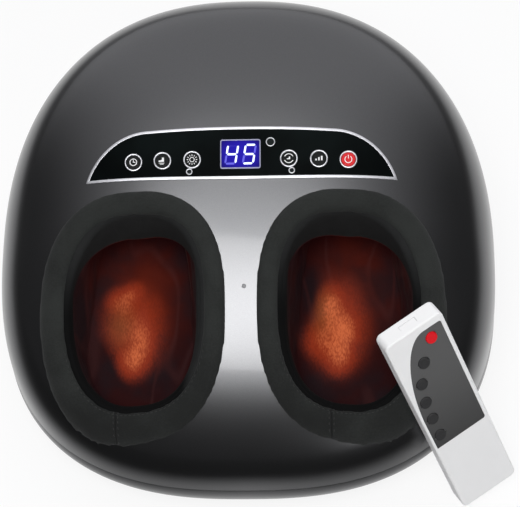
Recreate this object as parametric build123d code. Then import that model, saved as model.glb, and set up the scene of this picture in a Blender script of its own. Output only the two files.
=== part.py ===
from build123d import *
import os
from math import atan2, cos, pi, radians, sin, tan

# A foot massager: a low domed housing with two foot wells, a glossy control panel across its crown,
# padded collars and fabric boots in the wells, a train of turning massage heads under the soles,
# air bladders over the toes, and a loose remote control that leans on the front right shoulder.
# Millimetres. The origin is on the floor under the middle of the housing. +Z is up, and the user
# sits on the -Y side, so the left well is at -X as the user sees it.

# Housing
half_width = 200.0
front_reach = 187.0
back_reach = 204.0
front_power = 2.55
back_power = 2.35
dome_power = 3.2
widest_height = 48.0
crown_rise = 135.0
lean_share = 0.36
wall = 3.0
base_lift = 6.0
tuck_height = 24.0
tuck_share = 0.985
foot_print_share = 0.93
outline_steps = 24
dome_steps = 10
last_dome_angle = 4.0
overrun = 60.0
seat_gap = 0.3

# Padded collars round the two wells
collar_x = 84.5
collar_y = -81.6
collar_half_width = 73.0
collar_half_length = 86.4
well_x = 82.0
well_y = -79.5
well_half_width = 52.0
well_half_length = 69.0
pillar_side_power = 2.5
outer_side_power = 2.15
collar_steps = 12
collar_side = 3.0
collar_crown = 8.5
collar_sink = 6.0
collar_shoulder = 8.0

# Control panel
panel_low_half = 120.5
panel_low_y = 14.4
panel_low_middle_y = 12.2
panel_side_half = 109.5
panel_side_y = 33.4
panel_top_half = 70.5
panel_top_y = 49.8
panel_top_middle_y = 51.0
trim_width = 2.2
trim_proud = 0.6
lens_thickness = 1.8
lens_gap = 0.15
ledge = 3.0
panel_tilt = 20.0
panel_middle_y = 27.0
frame_depth = 9.4
frame_plate = 2.0
frame_half_width = 93.0
frame_low = 19.5
frame_high = 26.5
frame_corner = 6.0
sleeve_depth = 5.4
post_radius = 3.0
post_places = ((87.0, -15.0), (66.0, 22.5))

# Panel buttons, their rings and their switches
button_radius = 5.4
button_proud = 1.0
button_travel = 0.8
button_gap = 0.25
button_flange = 1.6
flange_thickness = 1.3
stem_radius = 1.5
stem_length = 2.4
bezel_width = 1.25
bezel_proud = 0.7
bezel_edge = 0.4
button_edge = 0.6
switch_side = 6.0
switch_height = 3.5
board_thickness = 1.6
button_xs = {"time": -83.0, "mode": -60.4, "heat": -37.3, "air": 37.3, "intensity": 60.4, "power": 83.0}
button_y = 27.0
light_places = {"remote": (23.2, 39.5, 3.7), "heat": (-39.5, 18.2, 2.6), "air": (39.5, 18.2, 2.6)}
light_proud = 0.2
display_half_width = 15.6
display_low_y = 19.8
display_high_y = 41.6
display_module_height = 6.0

# Tilted deck that carries the massage train, in its own frame
deck_tilt = 10.0
deck_y = -64.0
deck_z = 58.0
deck_half_width = 134.0
deck_low = 84.0
deck_high = 182.0
deck_corner = 58.0
deck_thickness = 4.0
deck_rim = 7.0
deck_rim_width = 3.0
leg_radius = 8.0
leg_side_inset = 88.0
leg_front_inset = 87.0
leg_back_inset = 142.0
leg_x = half_width - leg_side_inset
leg_ys = (leg_front_inset - front_reach, back_reach - leg_back_inset)
leg_foot = 26.0
leg_screw_seat = 17.5
leg_screw_length = 16.0

# Gear train: two heads for each foot, driven by one wide gear between them
gear_module = 3.0
head_teeth = 24
drive_teeth = 32
gear_start = 1.0
gear_thickness = 6.0
addendum_share = 0.9
dedendum_share = 1.25
pressure_angle = 20.0
backlash = 0.6
axle_radius = 6.0
axle_bore = 3.6
running_clearance = 0.05
disc_radius = 31.0
disc_thickness = 6.0
disc_edge = 2.5
hub_radius = 11.0
hub_rise = 2.0
node_ring = 20.5
big_node_radius = 8.0
small_node_radius = 6.0
big_node_height = 12.0
small_node_height = 9.0
node_flat = 0.6
node_count = 4
lamp_radius = 8.0
lamp_skirt = 1.6
lamp_flange_gap = 0.3
gear_windows = 6
gear_window = 8.8
shaft_radius = 4.0
shaft_cap_radius = 7.0
shaft_cap = 2.0
gearbox_side = 62.0
gearbox_height = 20.0
shaft_seat_share = 0.25
motor_radius = 17.0
motor_length = 56.0
motor_neck_radius = 9.0
motor_neck = 4.0

# Fabric boots
boot_wall = 3.0
sole_gap = 0.4
pocket_half_width = 50.0
pocket_high = 170.0
pocket_low = 34.0
pocket_height = 56.0
pocket_round = 17.0
boot_lip = 5.0
stitch_gap = 0.8

# Air system
bladder_half_width = 42.0
bladder_low = 112.0
bladder_high = 160.0
bladder_height = 9.0
bladder_round = 4.0
pump_size = (62.0, 80.0, 44.0)
pump_side_inset = 112.0
pump_back_inset = 92.0
pump_place = (pump_side_inset - half_width, back_reach - pump_back_inset)
pump_head_radius = 14.0
pump_head = 6.0
pump_round = 5.0
valve_size = (56.0, 26.0, 30.0)
valve_back_inset = 54.0
valve_y = back_reach - valve_back_inset
nipple_radius = 2.2
nipple_length = 7.0
nipple_x = 20.0
hose_radius = 3.4
hose_bend = 14.0
hose_rise = 138.0
hose_lead = 24.0

# Electrics in the base
main_board_size = (84.0, 70.0)
main_board_side_inset = 116.0
main_board_back_inset = 94.0
main_board_place = (half_width - main_board_side_inset, back_reach - main_board_back_inset)
standoff = 6.0
standoff_radius = 3.0
transformer_size = (38.0, 30.0, 26.0)
core_length_share = 1.2
core_height_share = 0.8
capacitor_radius = 9.0
capacitor_height = 24.0
capacitor_edge = 1.1
heat_sink_size = (30.0, 6.0, 22.0)
part_x_share = 0.25
front_part_y_share = 0.2
heat_sink_y_share = 0.33
inlet_width = 26.0
inlet_height = 15.0
inlet_depth = 22.0
inlet_flange = 2.5
inlet_flange_thickness = 2.0
inlet_z = 35.0
inlet_socket_depth = 14.0
inlet_pin_length = 11.0
inlet_socket_wall = 2.5
inlet_pin_radius = 1.2
inlet_pin_half_span = 4.3

# Feet, screws and bosses
foot_radius = 13.0
foot_inset = 1.0
foot_edge = 1.5
front_foot_side_inset = 88.0
front_foot_inset = 75.0
back_foot_side_inset = 72.0
back_foot_inset = 86.0
foot_places = (
    (half_width - front_foot_side_inset, front_foot_inset - front_reach),
    (half_width - back_foot_side_inset, back_reach - back_foot_inset),
)
boss_radius = 6.0
screw_radius = 1.8
screw_head_radius = 3.6
screw_head = 2.4
screw_length = 34.0
side_boss_inset = 32.0
side_boss_setback = 129.0
rear_boss_inset = 42.0
rear_boss_setback = 106.0
end_boss_x = 74.0
end_boss_inset = 32.0
front_boss_inset = 17.0
boss_places = (
    (half_width - side_boss_inset, side_boss_setback - front_reach),
    (half_width - rear_boss_inset, back_reach - rear_boss_setback),
    (end_boss_x, back_reach - end_boss_inset),
)
front_boss_y = front_boss_inset - front_reach
boss_rise = 16.0
vent_count = 9
vent_pitch = 9.0
vent_width = 3.5
vent_length = 46.0
vent_y = 52.0
plug_radius = 1.7
plug_proud = 0.5
plug_length = 3.4
plug_y = -65.6
plug_x = 2.5

# Remote control, in its own frame: x across, y from tail to head, z out of its face
remote_half_width = 25.0
remote_half_length = 103.5
remote_thickness = 16.0
remote_corner = 5.0
remote_wall = 2.0
remote_split = 8.0
remote_edge = 1.6
remote_turn = 55.4
remote_lean = 68.0
remote_roll = -24.0
remote_bearing = -42.95
remote_clearance = 0.6
across_steps = 4
along_steps = 24
place_steps = 40
plate_left = 22.8
plate_right = 21.4
plate_top = 96.3
plate_bottom = -23.8
plate_shoulder_x = 6.0
plate_shoulder_y = 6.0
plate_depth = 0.8
plate_corner = 2.0
key_along_shares = (0.83, 0.65, 0.47, 0.28, 0.09, -0.11)
key_across_shares = (0.40, -0.13, -0.47, -0.61, -0.64, -0.65)
key_half_width = 4.6
key_half_length = 5.7
key_gap = 0.3
key_proud = 0.9
key_travel = 1.0
key_flange = 1.0
key_flange_thickness = 1.0
key_stem_radius = 1.4
remote_board_depth = 7.2
remote_board_low = -43.0
cell_radius = 5.2
cell_length = 44.0
cell_spacing = 11.2
cell_y = -71.0
cell_nub_radius = 1.9
cell_nub = 1.0
contact_thickness = 0.6
contact_gap = 0.1
door_half_width = 14.0
door_high = -42.0
door_thickness = 1.6
door_gap = 0.2
door_rest = 1.5
door_grip_depth = 0.6
door_grip_width = 1.2
door_grip_count = 4
door_grip_pitch = 3.0
window_half_width = 7.0
window_height = 5.0
window_thickness = 1.5

names = []


def save(name, shape):
    """Write one piece, or one group of like pieces, under its own name."""
    os.makedirs("parts", exist_ok=True)
    shape.label = name
    export_step(shape, "parts/" + name + ".step")
    names.append(name)


def group(solids):
    """Keep separate solids together without fusing them."""
    return Compound(children=list(solids))


# Housing form

def housing_outline(angle):
    """How far the plan outline stands out at an angle, as a share of its reach on the axes."""
    power = front_power if sin(angle) < 0 else back_power
    return (abs(cos(angle)) ** power + abs(sin(angle)) ** power) ** (-1 / power)


def housing_ring(share, inset, height, rise_share=0.0):
    """One closed outline of the housing: a share of the plan, lifted by a share of the crown."""
    points = []
    for step in range(outline_steps):
        angle = 2 * pi * step / outline_steps
        reach = (front_reach if sin(angle) < 0 else back_reach) - inset
        x = share * (half_width - inset) * housing_outline(angle) * cos(angle)
        y = share * reach * housing_outline(angle) * sin(angle)
        points.append((x, y, height + rise_share * (crown_rise - inset + lean_share * y)))
    return Wire([Edge.make_spline([Vector(p) for p in points], periodic=True)])


def dome(inset):
    """Solid dome above the widest line; each outline lies in a plane that leans to the front."""
    rings = []
    for step in range(dome_steps + 1):
        angle = radians(90.0 - (90.0 - last_dome_angle) * step / dome_steps)
        share = abs(sin(angle)) ** (2 / dome_power)
        rise_share = 0.0 if step == 0 else cos(angle) ** (2 / dome_power)
        rings.append(housing_ring(share, inset, widest_height, rise_share))
    return Solid.make_loft(rings)


def tub(inset, floor):
    """Solid lower half of the housing, which tucks in towards the floor."""
    rings = [
        housing_ring(foot_print_share, inset, floor),
        housing_ring(tuck_share, inset, tuck_height),
        housing_ring(1.0, inset, widest_height),
    ]
    return Solid.make_loft(rings)


def dome_share(x, y, growth=0.0):
    """Plan position as a share of the outline: 1 on the widest line."""
    power = front_power if y < 0 else back_power
    reach = (front_reach if y < 0 else back_reach) + growth
    return ((abs(x) / (half_width + growth)) ** power + (abs(y) / reach) ** power) ** (1 / power)


def dome_height(x, y):
    """Height of the dome's outer face over a point of the plan."""
    share = min(1.0, dome_share(x, y))
    rise_share = (1 - share ** dome_power) ** (1 / dome_power)
    return widest_height + rise_share * (crown_rise + lean_share * y)


outer_dome = dome(0.0)
inner_dome = dome(wall)
lens_bed = dome(lens_thickness)


# Collar and well outlines

def well_ring(angle, side, centre, half_width_here, half_length_here):
    """A point of an oval round a well; its pillar side is flatter than its outer side."""
    power = pillar_side_power if cos(angle) < 0 else outer_side_power
    reach = (abs(cos(angle)) ** power + abs(sin(angle)) ** power) ** (-1 / power)
    x = centre[0] + half_width_here * reach * cos(angle)
    y = centre[1] + half_length_here * reach * sin(angle)
    return side * x, y


def well_face(side, growth):
    """Flat plan of a well, grown or shrunk evenly."""
    points = []
    for step in range(outline_steps):
        angle = 2 * pi * step / outline_steps
        points.append(
            well_ring(angle, side, (well_x, well_y), well_half_width + growth, well_half_length + growth)
        )
    return Face(Wire([Edge.make_spline([Vector(x, y, 0) for x, y in points], periodic=True)]))


def well_prism(side, growth):
    return extrude(well_face(side, growth), amount=crown_rise + widest_height + overrun, dir=(0, 0, 1))


def collar_section(angle, side):
    """Upright slice of the padded ring: sides, a crowned top, and a bottom sunk into the dome."""
    outer = well_ring(angle, side, (collar_x, collar_y), collar_half_width, collar_half_length)
    inner = well_ring(angle, side, (well_x, well_y), well_half_width, well_half_length)
    middle = ((outer[0] + inner[0]) / 2, (outer[1] + inner[1]) / 2)

    def lifted(place, lift):
        return Vector(place[0], place[1], dome_height(*place) + lift)

    outer_low, outer_high = lifted(outer, -collar_sink), lifted(outer, collar_side)
    inner_low, inner_high = lifted(inner, -collar_sink), lifted(inner, collar_side)
    return Wire([
        Edge.make_line(outer_low, outer_high),
        Edge.make_three_point_arc(outer_high, lifted(middle, collar_crown), inner_high),
        Edge.make_line(inner_high, inner_low),
        Edge.make_line(inner_low, outer_low),
    ])


def collar(side):
    """Padded ring in two halves that meet on the well's long axis, seated on the dome."""
    halves = []
    for start in (-pi / 2, pi / 2):
        sections = [
            collar_section(start + pi * step / collar_steps, side) for step in range(collar_steps + 1)
        ]
        halves.append(Solid.make_loft(sections))
    return halves[0] + halves[1] - outer_dome


# Frames of the panel and the deck

panel_middle = Vector(0, panel_middle_y, dome_height(0, panel_middle_y))
panel_normal = Vector(0, -sin(radians(panel_tilt)), cos(radians(panel_tilt)))
panel_plane = Plane(origin=panel_middle, x_dir=(1, 0, 0), z_dir=panel_normal)
deck_plane = Plane(
    origin=(0, deck_y, deck_z), x_dir=(1, 0, 0), z_dir=(0, -sin(radians(deck_tilt)), cos(radians(deck_tilt)))
)


inlet_draft = atan2((1 - tuck_share) * back_reach, widest_height - tuck_height)
inlet_plane = Plane(
    origin=(0, tuck_share * back_reach + (inlet_z - tuck_height) * tan(inlet_draft), inlet_z),
    x_dir=(1, 0, 0),
    z_dir=(0, cos(inlet_draft), -sin(inlet_draft)),
)


def on_panel(shape):
    return panel_plane.location * shape


def on_deck(shape):
    return deck_plane.location * shape


def panel_point(x, y):
    """Place on the panel's face, as x, y and height in the panel's own frame."""
    local = panel_plane.to_local_coords(Vector(x, y, dome_height(x, y)))
    return local.X, local.Y, local.Z


def rod(radius, low, high, x=0.0, y=0.0):
    """Upright cylinder between two heights of the frame it is made in."""
    bottom = (Align.CENTER, Align.CENTER, Align.MIN)
    return Pos(x, y, low) * Cylinder(radius, high - low, align=bottom)


def block(width, length, low, high, x=0.0, y=0.0):
    bottom = (Align.CENTER, Align.CENTER, Align.MIN)
    return Pos(x, y, low) * Box(width, length, high - low, align=bottom)


# Control panel

def panel_outline():
    """Plan of the panel: a long low edge, a shorter top edge and bowed sides."""
    right = [
        Edge.make_three_point_arc(
            Vector(-panel_low_half, panel_low_y),
            Vector(0, panel_low_middle_y),
            Vector(panel_low_half, panel_low_y),
        ),
        Edge.make_three_point_arc(
            Vector(panel_low_half, panel_low_y),
            Vector(panel_side_half, panel_side_y),
            Vector(panel_top_half, panel_top_y),
        ),
        Edge.make_three_point_arc(
            Vector(panel_top_half, panel_top_y),
            Vector(0, panel_top_middle_y),
            Vector(-panel_top_half, panel_top_y),
        ),
        Edge.make_three_point_arc(
            Vector(-panel_top_half, panel_top_y),
            Vector(-panel_side_half, panel_side_y),
            Vector(-panel_low_half, panel_low_y),
        ),
    ]
    return Face(Wire(right))


def panel_prism(inset):
    """Upright prism over the panel's plan, drawn in by an inset."""
    plan = panel_outline()
    if inset:
        plan = offset(plan, amount=-inset, kind=Kind.INTERSECTION)
    low = widest_height + crown_rise / 2
    return extrude(Pos(0, 0, low) * plan, amount=crown_rise, dir=(0, 0, 1))


button_places = {name: panel_point(x, button_y) for name, x in button_xs.items()}
bezel_radius = button_radius + button_gap + bezel_width
display_y = (display_low_y + display_high_y) / 2
display_length = display_high_y - display_low_y
board_top = -(frame_depth + frame_plate + seat_gap + flange_thickness + stem_length)
board_top = board_top - button_travel - seat_gap - switch_height


def display_prism(gap):
    return block(
        2 * (display_half_width + gap), display_length + 2 * gap, widest_height + crown_rise / 2,
        widest_height + 2 * crown_rise, 0, display_y,
    )


def post_spots():
    return [(side * x, y) for x, y in post_places for side in (-1, 1)]


def light_holes():
    """Clearance holes for the indicator lights."""
    holes = []
    for x, y, radius in light_places.values():
        place = panel_point(x, y)
        holes.append(on_panel(rod(radius + lens_gap, -overrun, overrun, place[0], place[1])))
    return holes


def make_panel():
    """Trim, lens, window, frame, rings, lights, circuit board and switches."""
    raised = dome(-trim_proud)
    band = panel_prism(0.0) - panel_prism(trim_width)
    save("panel_trim", (band & raised) - lens_bed)
    lens = (panel_prism(trim_width + lens_gap) & outer_dome) - lens_bed
    hole_radius = bezel_radius + lens_gap
    holes = [on_panel(rod(hole_radius, -overrun, overrun, x, y)) for x, y, z in button_places.values()]
    lens = lens - holes - light_holes() - display_prism(lens_gap)
    save("panel_lens", lens)
    save("display_window", (display_prism(0.0) & outer_dome) - lens_bed)

    plate_length = frame_low + frame_high
    frame = block(
        2 * frame_half_width, plate_length, -frame_depth - frame_plate, -frame_depth, 0,
        (frame_high - frame_low) / 2,
    )
    frame = fillet(frame.edges().filter_by(Axis.Z), frame_corner)
    sleeve_top = -sleeve_depth
    for x, y, z in button_places.values():
        frame = frame + rod(bezel_radius, -frame_depth, sleeve_top, x, y)
    for x, y, z in button_places.values():
        frame = frame - rod(button_radius + button_gap, -overrun, overrun, x, y)
    for x, y, radius in light_places.values():
        place = panel_point(x, y)
        frame = frame - rod(radius + lens_gap, -overrun, overrun, place[0], place[1])
    window = panel_point(0, display_y)
    frame = frame - block(
        2 * display_half_width, display_length, -overrun, overrun, window[0], window[1]
    )
    save("panel_frame", on_panel(frame))

    rings = []
    for x, y, z in button_places.values():
        ring = rod(bezel_radius, sleeve_top, z + bezel_proud, x, y)
        ring = chamfer(ring.edges().sort_by(Axis.Z)[-1], bezel_edge)
        rings.append(on_panel(ring - rod(button_radius + button_gap, -overrun, overrun, x, y)))
    save("button_bezels", group(rings))

    lights = []
    for x, y, radius in light_places.values():
        place = panel_point(x, y)
        pipe = rod(radius, -frame_depth - frame_plate, place[2] + light_proud, place[0], place[1])
        pipe = pipe + rod(radius / 2, board_top + seat_gap, -frame_depth - frame_plate, place[0], place[1])
        lights.append(on_panel(pipe))
    save("indicator_lights", group(lights))

    module = block(
        2 * display_half_width - 2 * seat_gap, display_length - 2 * seat_gap, board_top,
        board_top + display_module_height, window[0], window[1],
    )
    face = block(
        2 * display_half_width - 4 * seat_gap, display_length - 4 * seat_gap,
        board_top + display_module_height,
        window[2] - 2 * lens_thickness, window[0], window[1],
    )
    save("display_module", on_panel(module + face))

    board = block(
        2 * frame_half_width, plate_length, board_top - board_thickness, board_top, 0,
        (frame_high - frame_low) / 2,
    )
    board = fillet(board.edges().filter_by(Axis.Z), frame_corner)
    for x, y in post_spots():
        board = board + rod(post_radius, board_top, -frame_depth - frame_plate, x, y)
    save("control_board", on_panel(board))
    switches = []
    for x, y, z in button_places.values():
        body = block(switch_side, switch_side, board_top, board_top + switch_height - seat_gap, x, y)
        switches.append(on_panel(body + rod(stem_radius, board_top, board_top + switch_height, x, y)))
    save("tact_switches", group(switches))


def make_button(name):
    """Round cap with a rounded rim, a flange that keeps it in, and a stem over its switch."""
    x, y, z = button_places[name]
    flange_top = -frame_depth - frame_plate - seat_gap
    flange_low = flange_top - flange_thickness
    cap = rod(button_radius, flange_low, z + button_proud, x, y)
    cap = fillet(cap.edges().sort_by(Axis.Z)[-1], button_edge)
    cap = cap + rod(button_radius + button_flange, flange_low, flange_top, x, y)
    cap = cap + rod(stem_radius, flange_low - stem_length, flange_low, x, y)
    save(name + "_button", on_panel(cap))


# Housing shells

def boss_spots():
    spots = [(side * x, y) for x, y in boss_places for side in (-1, 1)]
    return spots + [(0.0, front_boss_y)]


def make_top_cover():
    """Domed cover with two well holes, a stepped seat and window for the panel, and screw bosses."""
    bosses = []
    for x, y in boss_spots():
        bosses.append(rod(boss_radius, widest_height, dome_height(x, y), x, y))
    for x, y in post_spots():
        bosses.append(on_panel(rod(post_radius, -frame_depth, overrun, x, y)))
    bosses = Part() + bosses
    cover = outer_dome - inner_dome
    cover = cover + (bosses & dome(wall / 2))
    cover = cover - (panel_prism(-seat_gap) & (dome(-ledge) - lens_bed))
    cover = cover - panel_prism(trim_width + ledge) - light_holes()
    for side in (-1, 1):
        cover = cover - well_prism(side, seat_gap)
    for x, y in boss_spots():
        cover = cover - rod(screw_radius, widest_height - overrun, widest_height + boss_rise, x, y)
    plug_normal = Plane(
        origin=(plug_x, plug_y, dome_height(plug_x, plug_y)), x_dir=(1, 0, 0), z_dir=panel_normal
    )
    cover = cover - plug_normal.location * rod(plug_radius, -overrun, overrun)
    save("top_cover", cover)
    plug = rod(plug_radius, -plug_length, plug_proud)
    plug = fillet(plug.edges().sort_by(Axis.Z)[-1], plug_proud)
    save("pillar_plug", plug_normal.location * plug)


def foot_spots():
    """One foot near each corner, and one in the middle of the floor, under the motor."""
    return [(side * x, y) for x, y in foot_places for side in (-1, 1)] + [(0.0, 0.0)]


def make_base():
    """Lower tray with screw bosses, deck pads, vents and the seat of the power inlet."""
    base = tub(0.0, base_lift) - tub(wall, base_lift + wall)
    inside = tub(wall / 2, base_lift + wall / 2)
    pillar_top = widest_height - lens_gap
    pillars = [rod(boss_radius, base_lift + wall / 2, pillar_top, x, y) for x, y in boss_spots()]
    for side in (-1, 1):
        for y in leg_ys:
            pillars.append(rod(leg_radius, base_lift + wall / 2, leg_foot, side * leg_x, y))
    base = base + ((Part() + pillars) & inside)
    cuts = []
    for x, y in boss_spots():
        cuts.append(rod(screw_radius, 0, widest_height + overrun, x, y))
        cuts.append(rod(screw_head_radius + seat_gap, 0, widest_height - screw_length + boss_rise, x, y))
    for side in (-1, 1):
        for y in leg_ys:
            cuts.append(rod(screw_radius, 0, overrun, side * leg_x, y))
            cuts.append(rod(screw_head_radius + seat_gap, 0, leg_screw_seat, side * leg_x, y))
        for step in range(vent_count):
            x = side * (vent_pitch * (step + 1))
            cuts.append(block(vent_width, vent_length, 0, base_lift + 2 * wall, x, vent_y))
    for x, y in foot_spots():
        cuts.append(rod(foot_radius, 0, base_lift + foot_inset, x, y))
    hole = block(inlet_width + 2 * lens_gap, inlet_height + 2 * lens_gap, -inlet_depth, overrun)
    seat = block(
        inlet_width + 2 * inlet_flange + 2 * lens_gap,
        inlet_height + 2 * inlet_flange + 2 * lens_gap, 0, overrun
    )
    cuts.append(inlet_plane.location * (hole + seat))
    save("base_cover", base - cuts)


def make_feet():
    feet = []
    for x, y in foot_spots():
        foot = rod(foot_radius, 0, base_lift + foot_inset, x, y)
        feet.append(fillet(foot.edges().sort_by(Axis.Z)[0], foot_edge))
    save("rubber_feet", group(feet))


def screw(x, y, seat, length):
    shank = rod(screw_radius - running_clearance, seat, seat + length, x, y)
    head = rod(screw_head_radius, seat - screw_head, seat, x, y)
    return shank + head


def make_screws():
    """Long screws that join the shells, and four shorter ones that hold the deck's legs."""
    screws = []
    for x, y in boss_spots():
        screws.append(screw(x, y, widest_height - screw_length + boss_rise, screw_length - seat_gap))
    for side in (-1, 1):
        for y in leg_ys:
            screws.append(screw(side * leg_x, y, leg_screw_seat, leg_screw_length))
    save("housing_screws", group(screws))


# Massage train

head_pitch = gear_module * head_teeth / 2
drive_pitch = gear_module * drive_teeth / 2
head_x = head_pitch + drive_pitch
head_y = head_pitch
head_places = {
    "left_heel": (-head_x, -head_y), "right_heel": (head_x, -head_y),
    "left_arch": (-head_x, head_y), "right_arch": (head_x, head_y),
}


def gear_face(teeth, turn):
    """Spur gear outline: straight-flanked teeth, four points each."""
    pitch = gear_module * teeth / 2
    tip = pitch + addendum_share * gear_module
    root = pitch - dedendum_share * gear_module
    half_tooth = (pi * gear_module / 2 - backlash) / 2
    slope = tan(radians(pressure_angle))
    half_tip = half_tooth - (tip - pitch) * slope
    half_root = half_tooth + (pitch - root) * slope
    points = []
    for tooth in range(teeth):
        middle = 2 * pi * tooth / teeth + radians(turn)
        for radius, half in ((root, -half_root), (tip, -half_tip), (tip, half_tip), (root, half_root)):
            angle = middle + half / radius
            points.append((radius * cos(angle), radius * sin(angle)))
    return make_face(Polyline(*points, close=True))


def make_head(name):
    """Gear, disc and hub in one moulding, with four rubber nodes on it."""
    x, y = head_places[name]
    turn = 180.0 / head_teeth if y < 0 else 0.0
    gear_top = gear_start + gear_thickness
    disc_top = gear_top + disc_thickness
    head = extrude(Pos(0, 0, gear_start) * gear_face(head_teeth, turn), amount=gear_thickness)
    disc = rod(disc_radius, gear_top, disc_top)
    disc = fillet(disc.edges().sort_by(Axis.Z)[-1], disc_edge)
    head = head + disc + rod(hub_radius, gear_top, disc_top + hub_rise)
    head = head - rod(axle_radius + running_clearance, -overrun, overrun)
    save(name + "_head", on_deck(Pos(x, y, 0) * head))
    nodes = []
    for step in range(node_count):
        angle = 2 * pi * (step + 1 / 2) / node_count
        big = step % 2 == 0
        radius = big_node_radius if big else small_node_radius
        height = big_node_height if big else small_node_height
        node = rod(radius, disc_top, disc_top + height, node_ring * cos(angle), node_ring * sin(angle))
        node = fillet(node.edges().sort_by(Axis.Z)[-1], radius - node_flat)
        nodes.append(on_deck(Pos(x, y, 0) * node))
    save(name + "_nodes", group(nodes))


def make_deck():
    """Tilted chassis plate with a rim, four legs, axle seats and a hole for the drive shaft."""
    plan = Rectangle(2 * deck_half_width, deck_low + deck_high)
    plan = Pos(0, (deck_high - deck_low) / 2) * fillet(plan.vertices(), deck_corner)
    plate = extrude(Pos(0, 0, -deck_thickness) * plan, amount=deck_thickness)
    rim = extrude(Pos(0, 0, -deck_rim) * plan, amount=deck_rim)
    rim = rim - extrude(Pos(0, 0, -deck_rim) * offset(plan, amount=-deck_rim_width), amount=deck_rim)
    deck = plate + rim
    for x, y in head_places.values():
        deck = deck - rod(axle_radius, -overrun, overrun, x, y)
    deck = deck - rod(shaft_cap_radius, -overrun, overrun, 0, -head_y)
    deck = on_deck(deck)
    under = on_deck(block(4 * half_width, 4 * half_width, -half_width, -deck_thickness / 2))
    for side in (-1, 1):
        for y in leg_ys:
            leg = rod(leg_radius, leg_foot, deck_z + overrun, side * leg_x, y) & under
            deck = deck + (leg - rod(screw_radius, 0, leg_foot + leg_screw_length, side * leg_x, y))
    save("massage_deck", deck)

    axles = []
    lamps = []
    hub_top = gear_start + gear_thickness + disc_thickness + hub_rise
    for x, y in head_places.values():
        tube = rod(axle_radius, -deck_thickness, hub_top + lamp_flange_gap, x, y)
        tube = tube - rod(axle_bore, -overrun, overrun, x, y)
        washer = rod(hub_radius, 0, gear_start - seat_gap, x, y) - rod(axle_radius, -overrun, overrun, x, y)
        axles.append(on_deck(tube + washer))
        skirt_top = hub_top + lamp_flange_gap + lamp_skirt
        lamp = rod(lamp_radius, hub_top + lamp_flange_gap, skirt_top, x, y)
        bulb = Pos(x, y, skirt_top) * Sphere(lamp_radius - lamp_skirt / 2)
        bulb = bulb & block(4 * lamp_radius, 4 * lamp_radius, skirt_top, skirt_top + 2 * lamp_radius, x, y)
        stem = rod(axle_bore - running_clearance, 0, hub_top + lamp_flange_gap, x, y)
        lamps.append(on_deck(lamp + bulb + stem))
    save("head_axles", group(axles))
    save("heat_lamps", group(lamps))


def make_drive():
    """Geared motor under the deck, its shaft, and the wide gear that turns the heads."""
    y = -head_y
    box_top = -deck_thickness
    box_low = box_top - gearbox_height
    housing = block(gearbox_side, gearbox_side, box_low, box_top, 0, y)
    housing = fillet(housing.edges().filter_by(Axis.Z), pump_round)
    can_z = box_top - motor_radius - seat_gap
    neck = Pos(0, y + gearbox_side / 2, can_z) * Rot(X=-90) * rod(motor_neck_radius, 0, motor_neck)
    can = Pos(0, y + gearbox_side / 2 + motor_neck, can_z) * Rot(X=-90)
    can = can * rod(motor_radius, 0, motor_length)
    can = chamfer(can.edges().sort_by(Axis.Y)[-1], motor_neck / 2)
    cap = Pos(0, y + gearbox_side / 2 + motor_neck + motor_length, can_z) * Rot(X=-90)
    cap = cap * rod(motor_neck_radius, 0, motor_neck)
    motor = housing + neck + can + cap
    seat_low = box_low + shaft_seat_share * gearbox_height
    motor = motor - rod(shaft_radius + running_clearance, seat_low, overrun, 0, y)
    save("gear_motor", on_deck(motor))
    gear_top = gear_start + gear_thickness
    shaft = rod(shaft_radius, box_low + shaft_seat_share * gearbox_height + seat_gap, gear_top, 0, y)
    shaft = shaft + rod(shaft_cap_radius, gear_top, gear_top + shaft_cap, 0, y)
    save("motor_shaft", on_deck(shaft))
    gear = extrude(Pos(0, y, gear_start) * gear_face(drive_teeth, 0.0), amount=gear_thickness)
    for step in range(gear_windows):
        angle = 2 * pi * step / gear_windows
        x_hole, y_hole = drive_pitch * cos(angle) / 2, y + drive_pitch * sin(angle) / 2
        gear = gear - rod(gear_window, -overrun, overrun, x_hole, y_hole)
    save("drive_gear", on_deck(gear - rod(shaft_radius, -overrun, overrun, 0, y)))


# Boots and bladders

sole_low = gear_start + gear_thickness + disc_thickness + big_node_height + sole_gap


def foot_room(side, inset):
    """Space of one boot: an upright well joined to a toe pocket that runs back under the panel."""
    low = sole_low + inset
    floor = on_deck(block(4 * half_width, 4 * half_width, low - half_width, low))
    well = well_prism(side, -inset - stitch_gap) - floor
    length = pocket_low + pocket_high - inset
    pocket = block(
        2 * (pocket_half_width - inset), length, low, sole_low + pocket_height - inset, side * head_x,
        (pocket_high - inset - pocket_low) / 2,
    )
    pocket = fillet(pocket.edges(), pocket_round - inset)
    return well + on_deck(pocket)


def make_boot(side, name):
    lid = dome(-boot_lip)
    outer = foot_room(side, 0.0) & (lid + tub(0.0, base_lift))
    save(name + "_boot", outer - foot_room(side, boot_wall))
    bladder = block(
        2 * bladder_half_width, bladder_high - bladder_low, sole_low + pocket_height + seat_gap,
        sole_low + pocket_height + seat_gap + bladder_height, side * head_x, (bladder_high + bladder_low) / 2,
    )
    bladder = fillet(bladder.edges(), bladder_round)
    save(name + "_airbag", on_deck(bladder))


# Pump, valves and hoses

floor_top = base_lift + wall


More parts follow.
